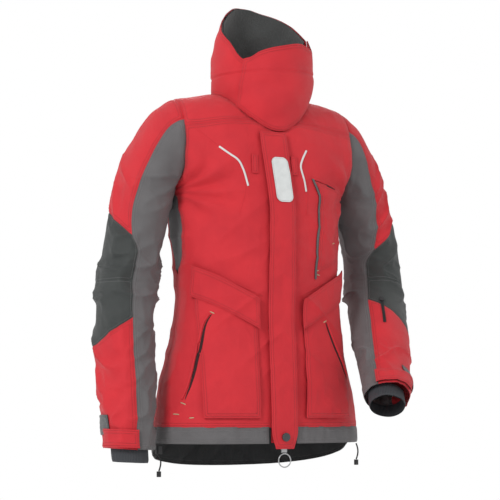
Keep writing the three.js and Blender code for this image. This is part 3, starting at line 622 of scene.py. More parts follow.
def sewn(name, cloth, material, body, nodes=(), thickness=SHELL_THICKNESS,
         bend=None, inside=None):
    """Makes a cloth a solid piece, with its weave's run and its edges' distance on its points."""
    grid = cloth.grid
    rows, columns = grid.shape[:2]
    outer = cloth.normals
    flip = (np.cross(np.gradient(grid, axis=1), np.gradient(grid, axis=0)) * outer).sum() > 0
    points = np.concatenate([grid.reshape(-1, 3), (grid - outer * thickness).reshape(-1, 3)])
    index = np.arange(rows * columns).reshape(rows, columns)
    quads = np.stack([index[:-1, :-1], index[:-1, 1:], index[1:, 1:], index[1:, :-1]], -1).reshape(-1, 4)
    if not flip:
        quads = quads[:, ::-1]
    under = quads[:, ::-1] + rows * columns
    border = np.concatenate([index[0, :-1], index[:-1, -1], index[-1, :0:-1], index[:0:-1, 0]])
    following = np.roll(border, -1)
    rim = np.stack([border, following, following + rows * columns, border + rows * columns], -1)
    if flip:
        rim = rim[:, ::-1]
    mesh = bpy.data.meshes.new(name)
    mesh.from_pydata(points.tolist(), [], np.concatenate([quads, under, rim]).tolist())
    piece = link(name, mesh)
    across, fall = runs_over(cloth.base, 1).mean(0), runs_over(cloth.base, 0).mean(1)
    u = np.broadcast_to(across[None], (rows, columns)).reshape(-1)
    v = np.broadcast_to(fall[cloth.start:cloth.start + rows, None], (rows, columns)).reshape(-1)
    uv = mesh.uv_layers.new(name="weave")
    corner = np.array([loop.vertex_index for loop in mesh.loops]) % (rows * columns)
    uv.data.foreach_set("uv", np.stack([u[corner], v[corner]], -1).astype(np.float32).ravel())
    for label, values in (("edge", cloth.edge), ("run", cloth.run)):
        attribute = mesh.attributes.new(label, "FLOAT", "POINT")
        attribute.data.foreach_set("value", np.tile(values.reshape(-1), 2).astype(np.float32))
    mesh.materials.append(material)
    if inside:
        mesh.materials.append(inside)
        mesh.polygons.foreach_set("material_index", [0] * len(quads) + [1] * len(under) + [0] * len(rim))
    smooth_faces(piece)
    rounded = np.concatenate([outer.reshape(-1, 3), -outer.reshape(-1, 3)])
    mesh.normals_split_custom_set_from_vertices(rounded.tolist())
    if bend:
        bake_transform(piece)
    else:
        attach(piece, body)
    if nodes:
        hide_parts(*nodes)
    width, length, area = cloth.cut()


def woven_finish(name, colour, shade, bright, thread, roughness=0.62, weave=0.0011, depth=0.00022,
                 stitched=True):
    """Coated woven cloth: a fine square weave, a slight shift of tone, worn edges and rows of stitches."""
    finish = Finish(name, Sheen_Weight=0.12, Sheen_Roughness=0.45, Specular_IOR_Level=0.32)
    across, down = finish.weave()
    yarns = (across * (math.tau / weave)).function("SINE") * (down * (math.tau / weave)).function("SINE")
    mottle = finish.noise(0.05, 3)
    specks = finish.noise(0.0035, 2)
    tone = finish.mix(mottle, shade, bright)
    tone = finish.mix(specks * 0.25, tone, colour)
    tone = finish.mix(yarns * 0.06 + 0.06, tone, shade)
    edge = finish.attribute("edge")
    rub = (1 - edge * 260).function("MAXIMUM") * 0.35
    tone = finish.mix(rub, tone, shade)
    height = yarns * 0.5 + specks * 0.6
    if stitched:
        run = finish.attribute("run")
        dash = (run * (math.tau / STITCH_PITCH)).function("SINE") > STITCH_GAP
        rows = None
        for place in STITCH_ROWS:
            row = ((edge - place).function("ABSOLUTE") < 0.00042) * dash
            groove = 1 - ((edge - place).function("ABSOLUTE") * 900).function("MINIMUM", 1.0)
            rows = row if rows is None else rows + row
            height = height - groove * 2.2 + row * 2.6
        tone = finish.mix(rows, tone, thread)
    finish.feed("Base Color", tone)
    finish.feed("Roughness", mottle * 0.12 + (roughness - 0.06))
    finish.bump(height, depth)
    return finish.material


RED = (0.70, 0.024, 0.036, 1)
RED_SHADE = (0.55, 0.016, 0.028, 1)
RED_BRIGHT = (0.78, 0.032, 0.043, 1)
RED_THREAD = (0.40, 0.015, 0.022, 1)
red_shell = woven_finish("red_coated_nylon", RED, RED_SHADE, RED_BRIGHT, RED_THREAD)

PANEL_SPARE = 0.0005
armhole_edges = {"right": [], "left": []}


def outer_edge(cloth, sign):
    """The edge of a torso panel that lies furthest out to one side, where the sleeve is sewn in."""
    edges = (cloth.grid[0], cloth.grid[-1], cloth.grid[:, 0], cloth.grid[:, -1])
    return max(edges, key=lambda edge: sign * edge[:, 0].mean())


for side in ("right", "left"):
    panel = Cloth(f"{side}_front_panel", torso_core, torso_folds, spare=(PANEL_SPARE,) * 4).drape()
    sewn(f"{side}_front", panel, red_shell, "body", [f"{side}_front_panel"])
    armhole_edges[side].append(outer_edge(panel, -1 if side == "right" else 1))
back = Cloth("back_panel", torso_core, torso_folds, spare=(PANEL_SPARE,) * 4).drape()
sewn("back", back, red_shell, "body", ["back_panel"])
armhole_edges["right"].append(outer_edge(back, -1))
armhole_edges["left"].append(outer_edge(back, 1))

GREY = (0.138, 0.132, 0.135, 1)
GREY_SHADE = (0.100, 0.096, 0.098, 1)
GREY_BRIGHT = (0.185, 0.176, 0.180, 1)
GREY_THREAD = (0.20, 0.195, 0.198, 1)
grey_shell = woven_finish("grey_coated_nylon", GREY, GREY_SHADE, GREY_BRIGHT, GREY_THREAD)
for side in ("right", "left"):
    panel = Cloth(f"{side}_side_panel", torso_core, torso_folds, spare=(0, 0, 0.0015, 0.0015)).drape()
    sewn(f"{side}_side", panel, grey_shell, "body", [f"{side}_side_panel"])
    armhole_edges[side].append(panel.grid[0])
    panel = Cloth(f"{side}_shoulder_panel", torso_core, torso_folds, spare=(PANEL_SPARE,) * 4).drape()
    sewn(f"{side}_shoulder", panel, red_shell, "body", [f"{side}_shoulder_panel"])
    armhole_edges[side].append(outer_edge(panel, -1 if side == "right" else 1))

# ---- Shoulder piping strips ----
# A strip of white reflective tape is sewn flat across the back of each shoulder.


def reflective_finish():
    finish = Finish("reflective_tape", Roughness=0.38)
    warp = finish.node("ShaderNodeUVMap", {"uv_map": "weave"})
    beads = finish.node("ShaderNodeTexVoronoi", {}, {"Vector": warp, "Scale": 900.0})
    wear = finish.noise(0.012, 3)
    border = (finish.attribute("edge") - 0.0022).function("ABSOLUTE") < 0.00035
    dash = (finish.attribute("run") * (math.tau / 0.003)).function("SINE") > -0.5
    tone = finish.mix(wear, (0.62, 0.645, 0.64, 1), (0.80, 0.82, 0.81, 1))
    finish.feed("Base Color", finish.mix(border * dash * 0.75, tone, (0.36, 0.37, 0.37, 1)))
    finish.feed("Roughness", wear * 0.2 + 0.28)
    finish.bump(beads * 0.4 - border * 1.4, 0.00015)
    return finish.material


reflective = reflective_finish()
for side in ("right", "left"):
    strip = Cloth(f"{side}_shoulder_reflector", torso_core, torso_folds, step=0.002).drape(turn=0, pucker=0)
    sewn(f"{side}_shoulder_strip", strip, reflective, "body", [f"{side}_shoulder_reflector"],
         thickness=0.0008)

# ---- Hem band and dropped tail ----
# A doubled band of grey cloth holds the drawcord, so it is drawn into small gathers; behind, it drops
# into a rounded tail.


def gathers(points):
    """Small upright gathers where the cord draws the hem in, over the torso's own folds."""
    x, y, z = np.moveaxis(points, -1, 0)
    around = np.arctan2(x, -(y - CORE_Y)) * 0.2
    ripple = gentle_noise(np.stack([around / 0.016, around * 0, z / 0.06], -1), 11)
    return torso_folds(points) + 0.0017 * ripple


facing = woven_finish("black_facing", (0.022, 0.023, 0.024, 1), (0.014, 0.015, 0.016, 1),
                      (0.034, 0.035, 0.036, 1),
                      (0.05, 0.05, 0.05, 1), roughness=0.8)
for node, name in (("right_hem_band", "right_hem"), ("left_hem_band", "left_hem"), ("back_tail", "tail")):
    band = Cloth(node, torso_core, gathers, step=0.0032, spare=(0.0016,) + (PANEL_SPARE,) * 3).drape()
    sewn(name, band, grey_shell, "body", [node], thickness=0.0026,
         inside=facing)

# ---- Body lining ----
# A light dark lining of brushed cloth hangs inside the shell, sewn in at the facings and the hem.


def brushed_finish(name, dark, light, size=0.004, depth=0.0009):
    finish = Finish(name, Roughness=0.95, Sheen_Weight=0.35, Sheen_Roughness=0.6)
    nap = finish.noise(size, 4, roughness=0.7)
    fleck = finish.node("ShaderNodeTexVoronoi", {}, {"Vector": finish.place(), "Scale": 1.6 / size})
    broad = finish.noise(0.04, 2)
    finish.feed("Base Color", finish.mix(nap * 0.75 + broad * 0.25, dark, light))
    finish.bump(nap + fleck * 0.8, depth)
    return finish.material


fleece = brushed_finish("charcoal_fleece", (0.028, 0.031, 0.030, 1), (0.085, 0.090, 0.088, 1))
lining = Cloth("body_lining", torso_core, lambda p: torso_folds(p) - 0.0008, step=0.009).drape(turn=0)
sewn("lining", lining, fleece, "body", ["body_lining"], thickness=0.0012)

# ---- Collar ----
# A tall stand collar in two layers: a padded shell that wraps the neck, lined with fleece, and an outer
# front wing that overlaps it to the wearer's right and opens from its own seam at the left.

COLLAR_MIDDLE_Y = -0.0415
COLLAR_STEP = 0.003
COLLAR_SEAM_Z = 0.054
WING_BEND = (-0.022, -0.030, 0)


def collar_core(points):
    points = np.asarray(points, float)
    z = points[..., 2]
    return np.stack([np.zeros(z.shape), np.full(z.shape, COLLAR_MIDDLE_Y), z], axis=-1)


def collar_folds(points):
    """The collar stands in a few rounded slanting folds and a level quilting seam."""
    x, y, z = np.moveaxis(points, -1, 0)
    slant = z - 0.35 * x
    rolls = 0.0042 * gentle_noise(np.stack([x / 0.07, y / 0.09, slant / 0.045], -1), 21)
    fine = 0.0015 * gentle_noise(points / (0.03, 0.04, 0.022), 22)
    level = z - COLLAR_SEAM_Z - 0.06 * x
    groove = 0.0016 * np.exp(-((level / 0.0022) ** 2))
    ridge = 0.0007 * np.exp(-(((level - 0.005) / 0.003) ** 2))
    return rolls + fine - groove + ridge


collar = Cloth("collar_shell", collar_core, collar_folds, step=COLLAR_STEP, spare=(0, 0.005, 0.002, 0.002))
collar.drape(turn=0.0008)
sewn("collar", collar, red_shell, "body", ["collar_shell"], thickness=0.003)

wing = Cloth("collar_flap", collar_core, collar_folds, step=COLLAR_STEP,
             spare=(0.001, 0.001, 0.0005, 0.0025))
wing.drape(turn=0.0010)
low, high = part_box("collar_flap")
wing_hinge = Vector((high.x, high.y, (low.z + high.z) / 2))
sewn("collar_wing", wing, red_shell, None, ["collar_flap"], thickness=0.0026,
     bend=("body", "collar_front", wing_hinge, wing_hinge + Vector(WING_BEND)))

collar_inside = Cloth("collar_lining", collar_core, collar_folds, step=COLLAR_STEP,
                      spare=(0.002, 0, 0.001, 0.001))
collar_inside.drape(turn=0.0006)
sewn("collar_fleece", collar_inside, fleece, "body", ["collar_lining"], thickness=0.0024)

# ---- Storm flap ----
# A long doubled strip covers the front zip. It is sewn down along the wearer's left and closes at the
# bottom with a snap; a reflective patch is stitched near its top.

FLAP_MIDDLE_Z = -0.4
FLAP_BEND = 0.022
REFLECTOR_CORNER = 0.012


def flap_folds(points):
    x, y, z = np.moveaxis(points, -1, 0)
    wave = 0.0014 * gentle_noise(np.stack([x / 0.05, y * 0, z / 0.075], -1), 31)
    small = 0.0007 * gentle_noise(np.stack([x / 0.02, y * 0, z / 0.022], -1), 32)
    return torso_folds(points) * 0.6 + wave + small


low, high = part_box("storm_flap")
flap_bend = ("body", "front_flap", (high.x, high.y, FLAP_MIDDLE_Z),
             (high.x - FLAP_BEND, high.y, FLAP_MIDDLE_Z))
flap = Cloth("storm_flap", torso_core, flap_folds, step=0.003, spare=(0.004, 0, 0, 0)).drape(turn=0.0012)
sewn("front_storm_flap", flap, red_shell, None, ["storm_flap"], thickness=0.0024,
     bend=flap_bend)


def round_corners(cloth, radius):
    """Rounds a patch's four corners, as it was cut."""
    grid = cloth.grid.copy()
    rows, columns = grid.shape[:2]
    down, side = runs_over(grid, 0), runs_over(grid, 1)
    p = np.clip(1 - np.minimum(side, side[:, -1:] - side) / radius, 0, 1)
    q = np.clip(1 - np.minimum(down, down[-1] - down) / radius, 0, 1)
    across = np.gradient(grid, axis=1)
    along = np.gradient(grid, axis=0)
    towards = np.where(np.arange(columns) < columns / 2, 1, -1)[None, :, None]
    across /= np.linalg.norm(across, axis=2)[..., None] * towards
    towards = np.where(np.arange(rows) < rows / 2, 1, -1)[:, None, None]
    along /= np.linalg.norm(along, axis=2)[..., None] * towards
    inward = radius * p * (1 - np.sqrt(1 - q * q / 2))
    downward = radius * q * (1 - np.sqrt(1 - p * p / 2))
    cloth.grid = grid + across * inward[..., None] + along * downward[..., None]
    return cloth


patch = Cloth("front_reflector", torso_core, flap_folds, step=0.002).drape(turn=0.0004, pucker=0)
round_corners(patch, REFLECTOR_CORNER)
sewn("flap_reflector", patch, reflective, None, ["front_reflector"], thickness=0.0009,
     bend=flap_bend)
inner_flap = Cloth("inner_storm_flap", torso_core, torso_folds, step=0.005).drape()
sewn("inner_flap", inner_flap, red_shell, "body", ["inner_storm_flap"], thickness=0.0012)

# ---- Cargo pockets and their flaps ----
# Each patch pocket is a doubled pouch with a turned edge, and its slanting flap hangs from a yoke seam.

LID_BEND = 0.012


def pocket_folds(points):
    x, y, z = np.moveaxis(points, -1, 0)
    full = 0.0030 * np.exp(-((z + 0.60) / 0.05) ** 2) + 0.0016 * gentle_noise(points / (0.06, 0.1, 0.07),
                                                                              41)
    sag = 0.0009 * gentle_noise(points / (0.022, 0.05, 0.03), 42)
    return torso_folds(points) + full + sag


def pocket_flap_folds(points):
    x, y, z = np.moveaxis(points, -1, 0)
    return torso_folds(points) + 0.0016 * gentle_noise(points / (0.045, 0.1, 0.04), 43)


for side in ("right", "left"):
    pouch = Cloth(f"{side}_cargo_pocket", torso_core, pocket_folds, step=0.003).drape(turn=0.0022,
                                                                                      width=0.004)
    sewn(f"{side}_pocket", pouch, red_shell, "body", [f"{side}_cargo_pocket"],
         thickness=0.0035)
    lid = Cloth(f"{side}_pocket_flap", torso_core, pocket_flap_folds, step=0.0026).drape(turn=0.0014)
    top = lid.base[0]
    hinge = Vector(top.mean(0))
    slope = Vector(top[-1] - top[0]).normalized()
    fall = Vector(lid.base[-1].mean(0) - top.mean(0))
    fall = (fall - fall.dot(slope) * slope).normalized()
    sewn(f"{side}_pocket_lid", lid, red_shell, None, [f"{side}_pocket_flap"], thickness=0.0024,
         bend=("body", f"{side}_flap", hinge, hinge + fall * LID_BEND))

# ---- Chest pocket ----
# A flat napoleon pocket on the wearer's left chest with a grey welt down its inner edge, and a narrow
# loop of the shell cloth on each side of the closure.

chest = Cloth("chest_pocket", torso_core, torso_folds, step=0.003).drape(turn=0.0012)
sewn("chest_pouch", chest, red_shell, "body", ["chest_pocket"])
welt = Cloth("chest_pocket_trim", torso_core, torso_folds, step=0.0016).drape(turn=0.0004, width=0.0012,
                                                                              pucker=0)
sewn("chest_welt", welt, grey_shell, "body", ["chest_pocket_trim"], thickness=0.0014)
for side in ("right", "left"):
    loop = Cloth(f"{side}_chest_loop", torso_core, torso_folds, step=0.002).drape(turn=0.0006, width=0.0014)
    sewn(f"{side}_chest_webbing", loop, red_shell, "body", [f"{side}_chest_loop"])

# ---- Sleeves ----
# Each sleeve is an outer panel and a grey underarm panel, with a coated reinforcement patch round the
# elbow. The cloth bunches at the elbow and the cuff; it is sewn into the armhole.

RIGHT_ARM = [(-0.188, -0.010, -0.097), (-0.209, -0.008, -0.112), (-0.231, -0.004, -0.151),
             (-0.247, 0.000, -0.208),
             (-0.256, 0.004, -0.250), (-0.265, 0.008, -0.301), (-0.275, 0.012, -0.371),
             (-0.281, 0.006, -0.438),
             (-0.285, -0.005, -0.502), (-0.285, -0.015, -0.563), (-0.285, -0.026, -0.620),
             (-0.287, -0.041, -0.699)]
LEFT_ARM = [(0.188, -0.010, -0.097), (0.209, -0.008, -0.112), (0.232, -0.004, -0.151),
            (0.255, 0.000, -0.208),
            (0.266, 0.004, -0.250), (0.278, 0.008, -0.301), (0.283, 0.001, -0.371), (0.271, -0.033, -0.426),
            (0.253, -0.079, -0.471), (0.232, -0.120, -0.510), (0.213, -0.161, -0.548),
            (0.187, -0.217, -0.599)]
ARMS = (("right", -1, RIGHT_ARM, -0.9, 0.0), ("left", 1, LEFT_ARM, 4.2, 13.7))
ELBOW_PLACE = 6
ELBOW_REACH = 0.034
SLEEVE_SPARES = (0.0013,) * 4
ARMHOLE_SPARE = 0.001
ARMHOLE_EASE = 0.030
ZIP_CALM = 0.065
SLEEVE_STEP = 0.0034
ARMPIT = (0.189, -0.187)
ARMHOLE_TURN = (0.55, -0.83)
ARMHOLE_REACH = 0.055


def along_line(line):
    """Returns a function that gives each point's nearest place on a line, and how far along it lies."""
    line = np.array(line)
    steps = np.diff(line, axis=0)
    sizes = np.linalg.norm(steps, axis=1)
    starts = np.concatenate([[0], np.cumsum(sizes)])

    def nearest(points):
        points = np.asarray(points, float)
        away = points[..., None, :] - line[:-1]
        share = (away * steps).sum(-1) / (sizes ** 2)
        share[..., 1:-1] = np.clip(share[..., 1:-1], 0, 1)
        share[..., 0] = np.minimum(share[..., 0], 1)
        share[..., -1] = np.maximum(share[..., -1], 0)
        found = line[:-1] + share[..., None] * steps
        distance = np.linalg.norm(points[..., None, :] - found, axis=-1)
        weight = np.exp(-((distance - distance.min(-1)[..., None]) / 0.006))
        weight /= weight.sum(-1)[..., None]
        far = starts[:-1] + share * sizes
        return (found * weight[..., None]).sum(-2), (far * weight).sum(-1)

    return nearest, starts


def sleeve_folds_of(centre_of, elbow, inner_turn, seed, calm):
    """Bunched folds round a sleeve: strongest inside the elbow, then at the cuff and the armhole."""
    def folds(points):
        centre, far = centre_of(points)
        out = points - centre
        around = np.arctan2(out[..., 1], out[..., 0])
        ring = np.stack([np.cos(around), np.sin(around)], -1)
        inside = 0.5 + 0.5 * np.cos(around - inner_turn)
        bunch = 0.50 + 0.80 * np.exp(-((far - elbow) / 0.085) ** 2) * (0.35 + 0.65 * inside)
        bunch += (0.45 * np.exp(-((far - elbow - 0.22) / 0.07) ** 2)
                  + 0.25 * np.exp(-((far - 0.14) / 0.06) ** 2))
        seat = np.clip(far / 0.05, 0, 1)
        slant = far + 0.050 * np.sin(around + 0.6) + 0.014 * np.sin(around * 2 + far * 20)
        q = np.concatenate([ring * 0.85, (slant / 0.044)[..., None]], -1)
        ridge = (1 - np.abs(gentle_noise(q + seed))) ** 2.2
        q2 = np.concatenate([ring * 1.7, ((far - 0.04 * np.cos(around)) / 0.028)[..., None]], -1)
        small = (1 - np.abs(gentle_noise(q2 + 5 + seed))) ** 2
        body = gentle_noise(points / 0.07, 61)
        near_zip = np.linalg.norm(points - calm, axis=-1)
        seat = seat * np.clip(near_zip / ZIP_CALM - 0.8, 0, 1)
        return seat * (bunch * (0.0120 * (ridge - 0.42) + 0.0028 * (small - 0.4)) + 0.0022 * body)

    return folds


PATCH_DARK = (0.024, 0.028, 0.027, 1)
PATCH_LIGHT = (0.054, 0.060, 0.058, 1)
RIPSTOP = 0.0022


def reinforced_finish():
    """Hard-wearing coated cloth: dark, with a coarse rip-stop grain and paler rubbed ridges."""
    finish = Finish("reinforced_patch_cloth", Sheen_Weight=0.1, Specular_IOR_Level=0.4)
    across, down = finish.weave()
    first = (across * (math.tau / RIPSTOP)).function("SINE")
    grain = first.function("MAXIMUM", (down * (math.tau / RIPSTOP)).function("SINE"))
    wear = finish.noise(0.03, 4, roughness=0.65)
    edge = finish.attribute("edge")
    dash = (finish.attribute("run") * (math.tau / STITCH_PITCH)).function("SINE") > STITCH_GAP
    row = ((edge - 0.004).function("ABSOLUTE") < 0.00045) * dash
    tone = finish.mix(wear, PATCH_DARK, PATCH_LIGHT)
    tone = finish.mix(row, tone, (0.14, 0.145, 0.145, 1))
    finish.feed("Base Color", tone)
    finish.feed("Roughness", wear * 0.25 + 0.42)
    finish.bump(grain * 0.6 + wear * 0.8 + row * 1.5, 0.0003)
    return finish.material


patch_cloth = reinforced_finish()
zip_middle = np.array(sum(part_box("sleeve_zip"), Vector()) / 2)
for side, sign, line, inner_turn, seed in ARMS:
    centre_of, starts = along_line(line)

    def arm_core(points, centre_of=centre_of):
        return centre_of(points)[0]

    folds = sleeve_folds_of(centre_of, starts[ELBOW_PLACE], inner_turn, seed, zip_middle)
    low_arm = Vector(line[-2]) - Vector(line[ELBOW_PLACE + 1])
    elbow_at = Vector(line[ELBOW_PLACE])
    arm_run = (low_arm.normalized() + (elbow_at - Vector(line[ELBOW_PLACE - 2])).normalized()).normalized()
    half_bend = arm_run * ELBOW_REACH
    elbow_bend = (f"{side}_upper_arm", f"{side}_lower_arm", elbow_at - half_bend, elbow_at + half_bend)
    seam = Vector((sign * ARMPIT[0], 0, ARMPIT[1]))
    turn = Vector((sign * ARMHOLE_TURN[0], 0, ARMHOLE_TURN[1])).normalized() * ARMHOLE_REACH
    armhole_bend = ("body", f"{side}_upper_arm", seam, seam + turn)

    top_spare = (ARMHOLE_SPARE,) + SLEEVE_SPARES[1:]
    armhole = np.concatenate([finer_row(edge, len(edge) * 6) for edge in armhole_edges[side]])
    upper = Cloth(f"{side}_upper_sleeve", arm_core, folds, step=SLEEVE_STEP, spare=top_spare).drape()
    upper.meet(armhole, ARMHOLE_EASE)
    sewn(f"{side}_sleeve_top", upper, red_shell, None, [f"{side}_upper_sleeve"],
         bend=armhole_bend)

    under = Cloth(f"{side}_underarm_panel", arm_core, folds, step=SLEEVE_STEP, spare=top_spare,
                  seams=(True, False, True, True)).drape().meet(armhole, ARMHOLE_EASE)
    reach = ((under.base - np.array(seam)) @ np.array(turn)) / turn.length_squared
    split = int(np.argmax(reach.min(1) > 1.0))
    sewn(f"{side}_underarm", under.rows(0, split + 1), grey_shell, None,
         [f"{side}_underarm_panel"],
         bend=armhole_bend)
    sewn(f"{side}_inner_elbow", under.rows(split, len(under.grid)), grey_shell, None,
         [f"{side}_underarm_panel"], bend=elbow_bend)

    cap = Cloth(f"{side}_elbow_patch_upper", arm_core, folds, step=SLEEVE_STEP, spare=SLEEVE_SPARES).drape()
    sewn(f"{side}_elbow_patch_top", cap, patch_cloth, None, [f"{side}_elbow_patch_upper"],
         bend=elbow_bend)
    fall = tuple(low_arm.normalized())
    lower_spare = (0,) + SLEEVE_SPARES[1:]
    lower = Cloth(f"{side}_elbow_patch_lower", arm_core, folds, step=SLEEVE_STEP, spare=lower_spare,
                  down=fall,
                  onto=packed_grid(f"{side}_elbow_patch_upper", arm_core)[-1]).drape()
    sewn(f"{side}_elbow_patch_bottom", lower, patch_cloth, None, [f"{side}_elbow_patch_lower"],
         bend=elbow_bend)
    inner = Cloth(f"{side}_forearm_inner_panel", arm_core, folds, step=SLEEVE_STEP, spare=lower_spare,
                  down=fall,
                  onto=packed_grid(f"{side}_underarm_panel", arm_core)[-1],
                  seams=(False, True, True, True)).drape()
    sewn(f"{side}_forearm_inside", inner, grey_shell, None, [f"{side}_forearm_inner_panel"],
         bend=elbow_bend)
    outer = Cloth(f"{side}_forearm_panel", arm_core, folds, step=SLEEVE_STEP, spare=SLEEVE_SPARES,
                  down=fall).drape()
    sewn(f"{side}_forearm", outer, red_shell, f"{side}_lower_arm", [f"{side}_forearm_panel"])

# ---- Cuffs ----
# A hook-and-loop tab of shell cloth tightens each cuff over a dark hook patch, and a soft stretch seal
# stands out of the sleeve's end.

HOOK_RISE = 0.0009
SEAL_RIB = 0.0032
TAB_BEND_SHARE = 0.3


def joint_value(name, key):
    return next(joint[key] for joint in frame["joints"] if joint["name"] == name)


def ribbed_finish():
    """Stretchy rubber-faced knit, ribbed along the wrist."""
    finish = Finish("stretch_seal_knit", Roughness=0.7, Specular_IOR_Level=0.35)
    ribs = (finish.weave()[0] * (math.tau / SEAL_RIB)).function("SINE")
    fuzz = finish.noise(0.002, 3)
    share = fuzz * 0.5 + ribs * 0.2 + 0.2
    finish.feed("Base Color", finish.mix(share, (0.030, 0.033, 0.038, 1), (0.075, 0.080, 0.090, 1)))
    finish.bump(ribs * 0.6 + fuzz * 0.5, 0.0006)
    return finish.material


seal_knit = ribbed_finish()
hook_tape = brushed_finish("hook_tape", (0.018, 0.019, 0.020, 1), (0.060, 0.062, 0.064, 1), size=0.0014,
                           depth=0.0006)
for side, sign, line, inner_turn, seed in ARMS:
    centre_of, starts = along_line(line)
    folds = sleeve_folds_of(centre_of, starts[ELBOW_PLACE], inner_turn, seed, zip_middle)
    fall = tuple((Vector(line[-1]) - Vector(line[-2])).normalized())

    def cuff_core(points, centre_of=centre_of):
        return centre_of(points)[0]

    hook = Cloth(f"{side}_cuff_hook_patch", cuff_core, lambda p: folds(p) + HOOK_RISE, step=0.0022,
                 down=fall)
    hook.drape(turn=0.0003, pucker=0)
    sewn(f"{side}_hook_tape", hook, hook_tape, f"{side}_lower_arm", [f"{side}_cuff_hook_patch"],
         thickness=0.0012)
    tab = Cloth(f"{side}_cuff_tab", cuff_core, folds, step=0.0022, down=fall).drape(turn=0.0014,
                                                                                    pucker=0.0003)
    hinge = Vector(joint_value(f"{side}_cuff_tab_hinge", "pos_m"))
    middle = Vector(tab.base.reshape(-1, 3).mean(0))
    sewn(f"{side}_tab", tab, red_shell, None, [f"{side}_cuff_tab"], thickness=0.0024,
         bend=(f"{side}_lower_arm", f"{side}_tab", hinge, hinge + (middle - hinge) * TAB_BEND_SHARE))
    seal = Cloth(f"{side}_cuff_seal", cuff_core, lambda p: 0.0008 * gentle_noise(p / 0.02, 71), step=0.0028,
                 down=fall, seams=(False, True, False, False)).drape(turn=0.0016, width=0.003, pucker=0)
    sewn(f"{side}_seal", seal, seal_knit, f"{side}_lower_arm", [f"{side}_cuff_seal"],
         thickness=0.0024)

# ---- White pipings on the chest ----
# Two cords of white reflective piping are let into the chest seams, one each side of the closure, each
# bending once on its way down.

NEAR_FRONT = -1.0
TRIM_CROWN = 0.55


def touch_maker(names):
    """Returns a function that gives these pieces' outer surface straight behind a point in front."""
    points, faces = [], []
    for name in names:
        mesh = bpy.data.objects[name].data
        start = len(points)
        points += [v.co for v in mesh.vertices]
        faces += [[start + v for v in face.vertices] for face in mesh.polygons]
    tree = BVHTree.FromPolygons(points, faces)

    def touch(x, z):
        place, normal, _, _ = tree.ray_cast(Vector((x, NEAR_FRONT, z)), Vector((0, 1, 0)))
        return place, (-normal if normal.y > 0 else normal)

    return touch


def through(points, count):
    """Points on a smooth line through a few."""
    points = np.array(points, float)
    stations = run_of(points)
    if len(points) == 2:
        share = np.linspace(0, 1, count)[:, None]
        return points[0] * (1 - share) + points[1] * share
    return spline(points[:, None], stations, np.linspace(0, stations[-1], count))[:, 0]


def trim(name, route, touch, width, height, material, sink=0.0006, step=0.0025, body="body",
         taper=0.0,
         crown=0.5):
    """A strip laid along the surface: flat beneath, crowned above, closed at both ends."""
    span = np.linalg.norm(np.diff(np.array(route, float), axis=0), axis=1).sum()
    line = through(route, max(4, round(span / step) + 1))
    places, outs = zip(*(touch(x, z) for x, z in line))
    places, outs = np.array(places), np.array(outs)
    for _ in range(2):
        outs[1:-1] = (outs[:-2] + outs[1:-1] + outs[2:]) / 3
        places[1:-1] = (places[:-2] + 2 * places[1:-1] + places[2:]) / 4
    outs /= np.linalg.norm(outs, axis=1)[:, None]
    runs = np.gradient(places, axis=0)
    sides = np.cross(runs, outs)
    sides /= np.linalg.norm(sides, axis=1)[:, None]
    profile = [(-1, -sink), (-1, height * crown), (-TRIM_CROWN, height), (TRIM_CROWN, height),
               (1, height * crown), (1, -sink)]
    share = np.linspace(0, 1, len(line))
    narrow = 1 - taper * np.abs(2 * share - 1) ** 2
    rings = np.stack([
        places + sides * (across * width / 2 * narrow)[:, None] + outs * rise for across, rise in profile
    ], axis=1)
    count = len(profile)
    mesh = bpy.data.meshes.new(name)
    mesh.from_pydata(rings.reshape(-1, 3).tolist(), [], tube_faces(len(line), count))
    lengths_along = run_of(places)
    for label, values in (
        ("run", np.repeat(lengths_along, count)),
        ("edge", np.tile([0, 0, 0.3, 0.3, 0, 0], len(line)) * width),
    ):
        attribute = mesh.attributes.new(label, "FLOAT", "POINT")
        attribute.data.foreach_set("value", values.astype(np.float32))
    uv = mesh.uv_layers.new(name="weave")
    corner = np.array([loop.vertex_index for loop in mesh.loops])
    uv.data.foreach_set("uv", np.stack([
        (corner % count) * width / count, np.repeat(lengths_along, count)[corner],
    ], -1).astype(np.float32).ravel())
    piece = link(name, mesh)
    face_outwards(piece)
    mesh.materials.append(material)
    smooth_faces(piece)
    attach(piece, body)


touch = touch_maker(["right_front", "left_front", "right_shoulder", "left_shoulder"])
PIPING_WIDTH = 0.0040
PIPING_HEIGHT = 0.0016
RIGHT_PIPING = [(-0.129, -0.105), (-0.109, -0.120), (-0.092, -0.132), (-0.083, -0.147), (-0.077, -0.164),
                (-0.072, -0.182)]
LEFT_PIPING = [(0.060, -0.103), (0.050, -0.120), (0.044, -0.136), (0.047, -0.150), (0.053, -0.168),
               (0.057, -0.187)]
for side, route in (("right", RIGHT_PIPING), ("left", LEFT_PIPING)):
    trim(f"{side}_chest_piping", route, touch, PIPING_WIDTH, PIPING_HEIGHT, reflective)

# ---- Yoke seams ----
# The chest and pocket yokes are joined by felled seams: a low ridge of doubled cloth with a shadow line.

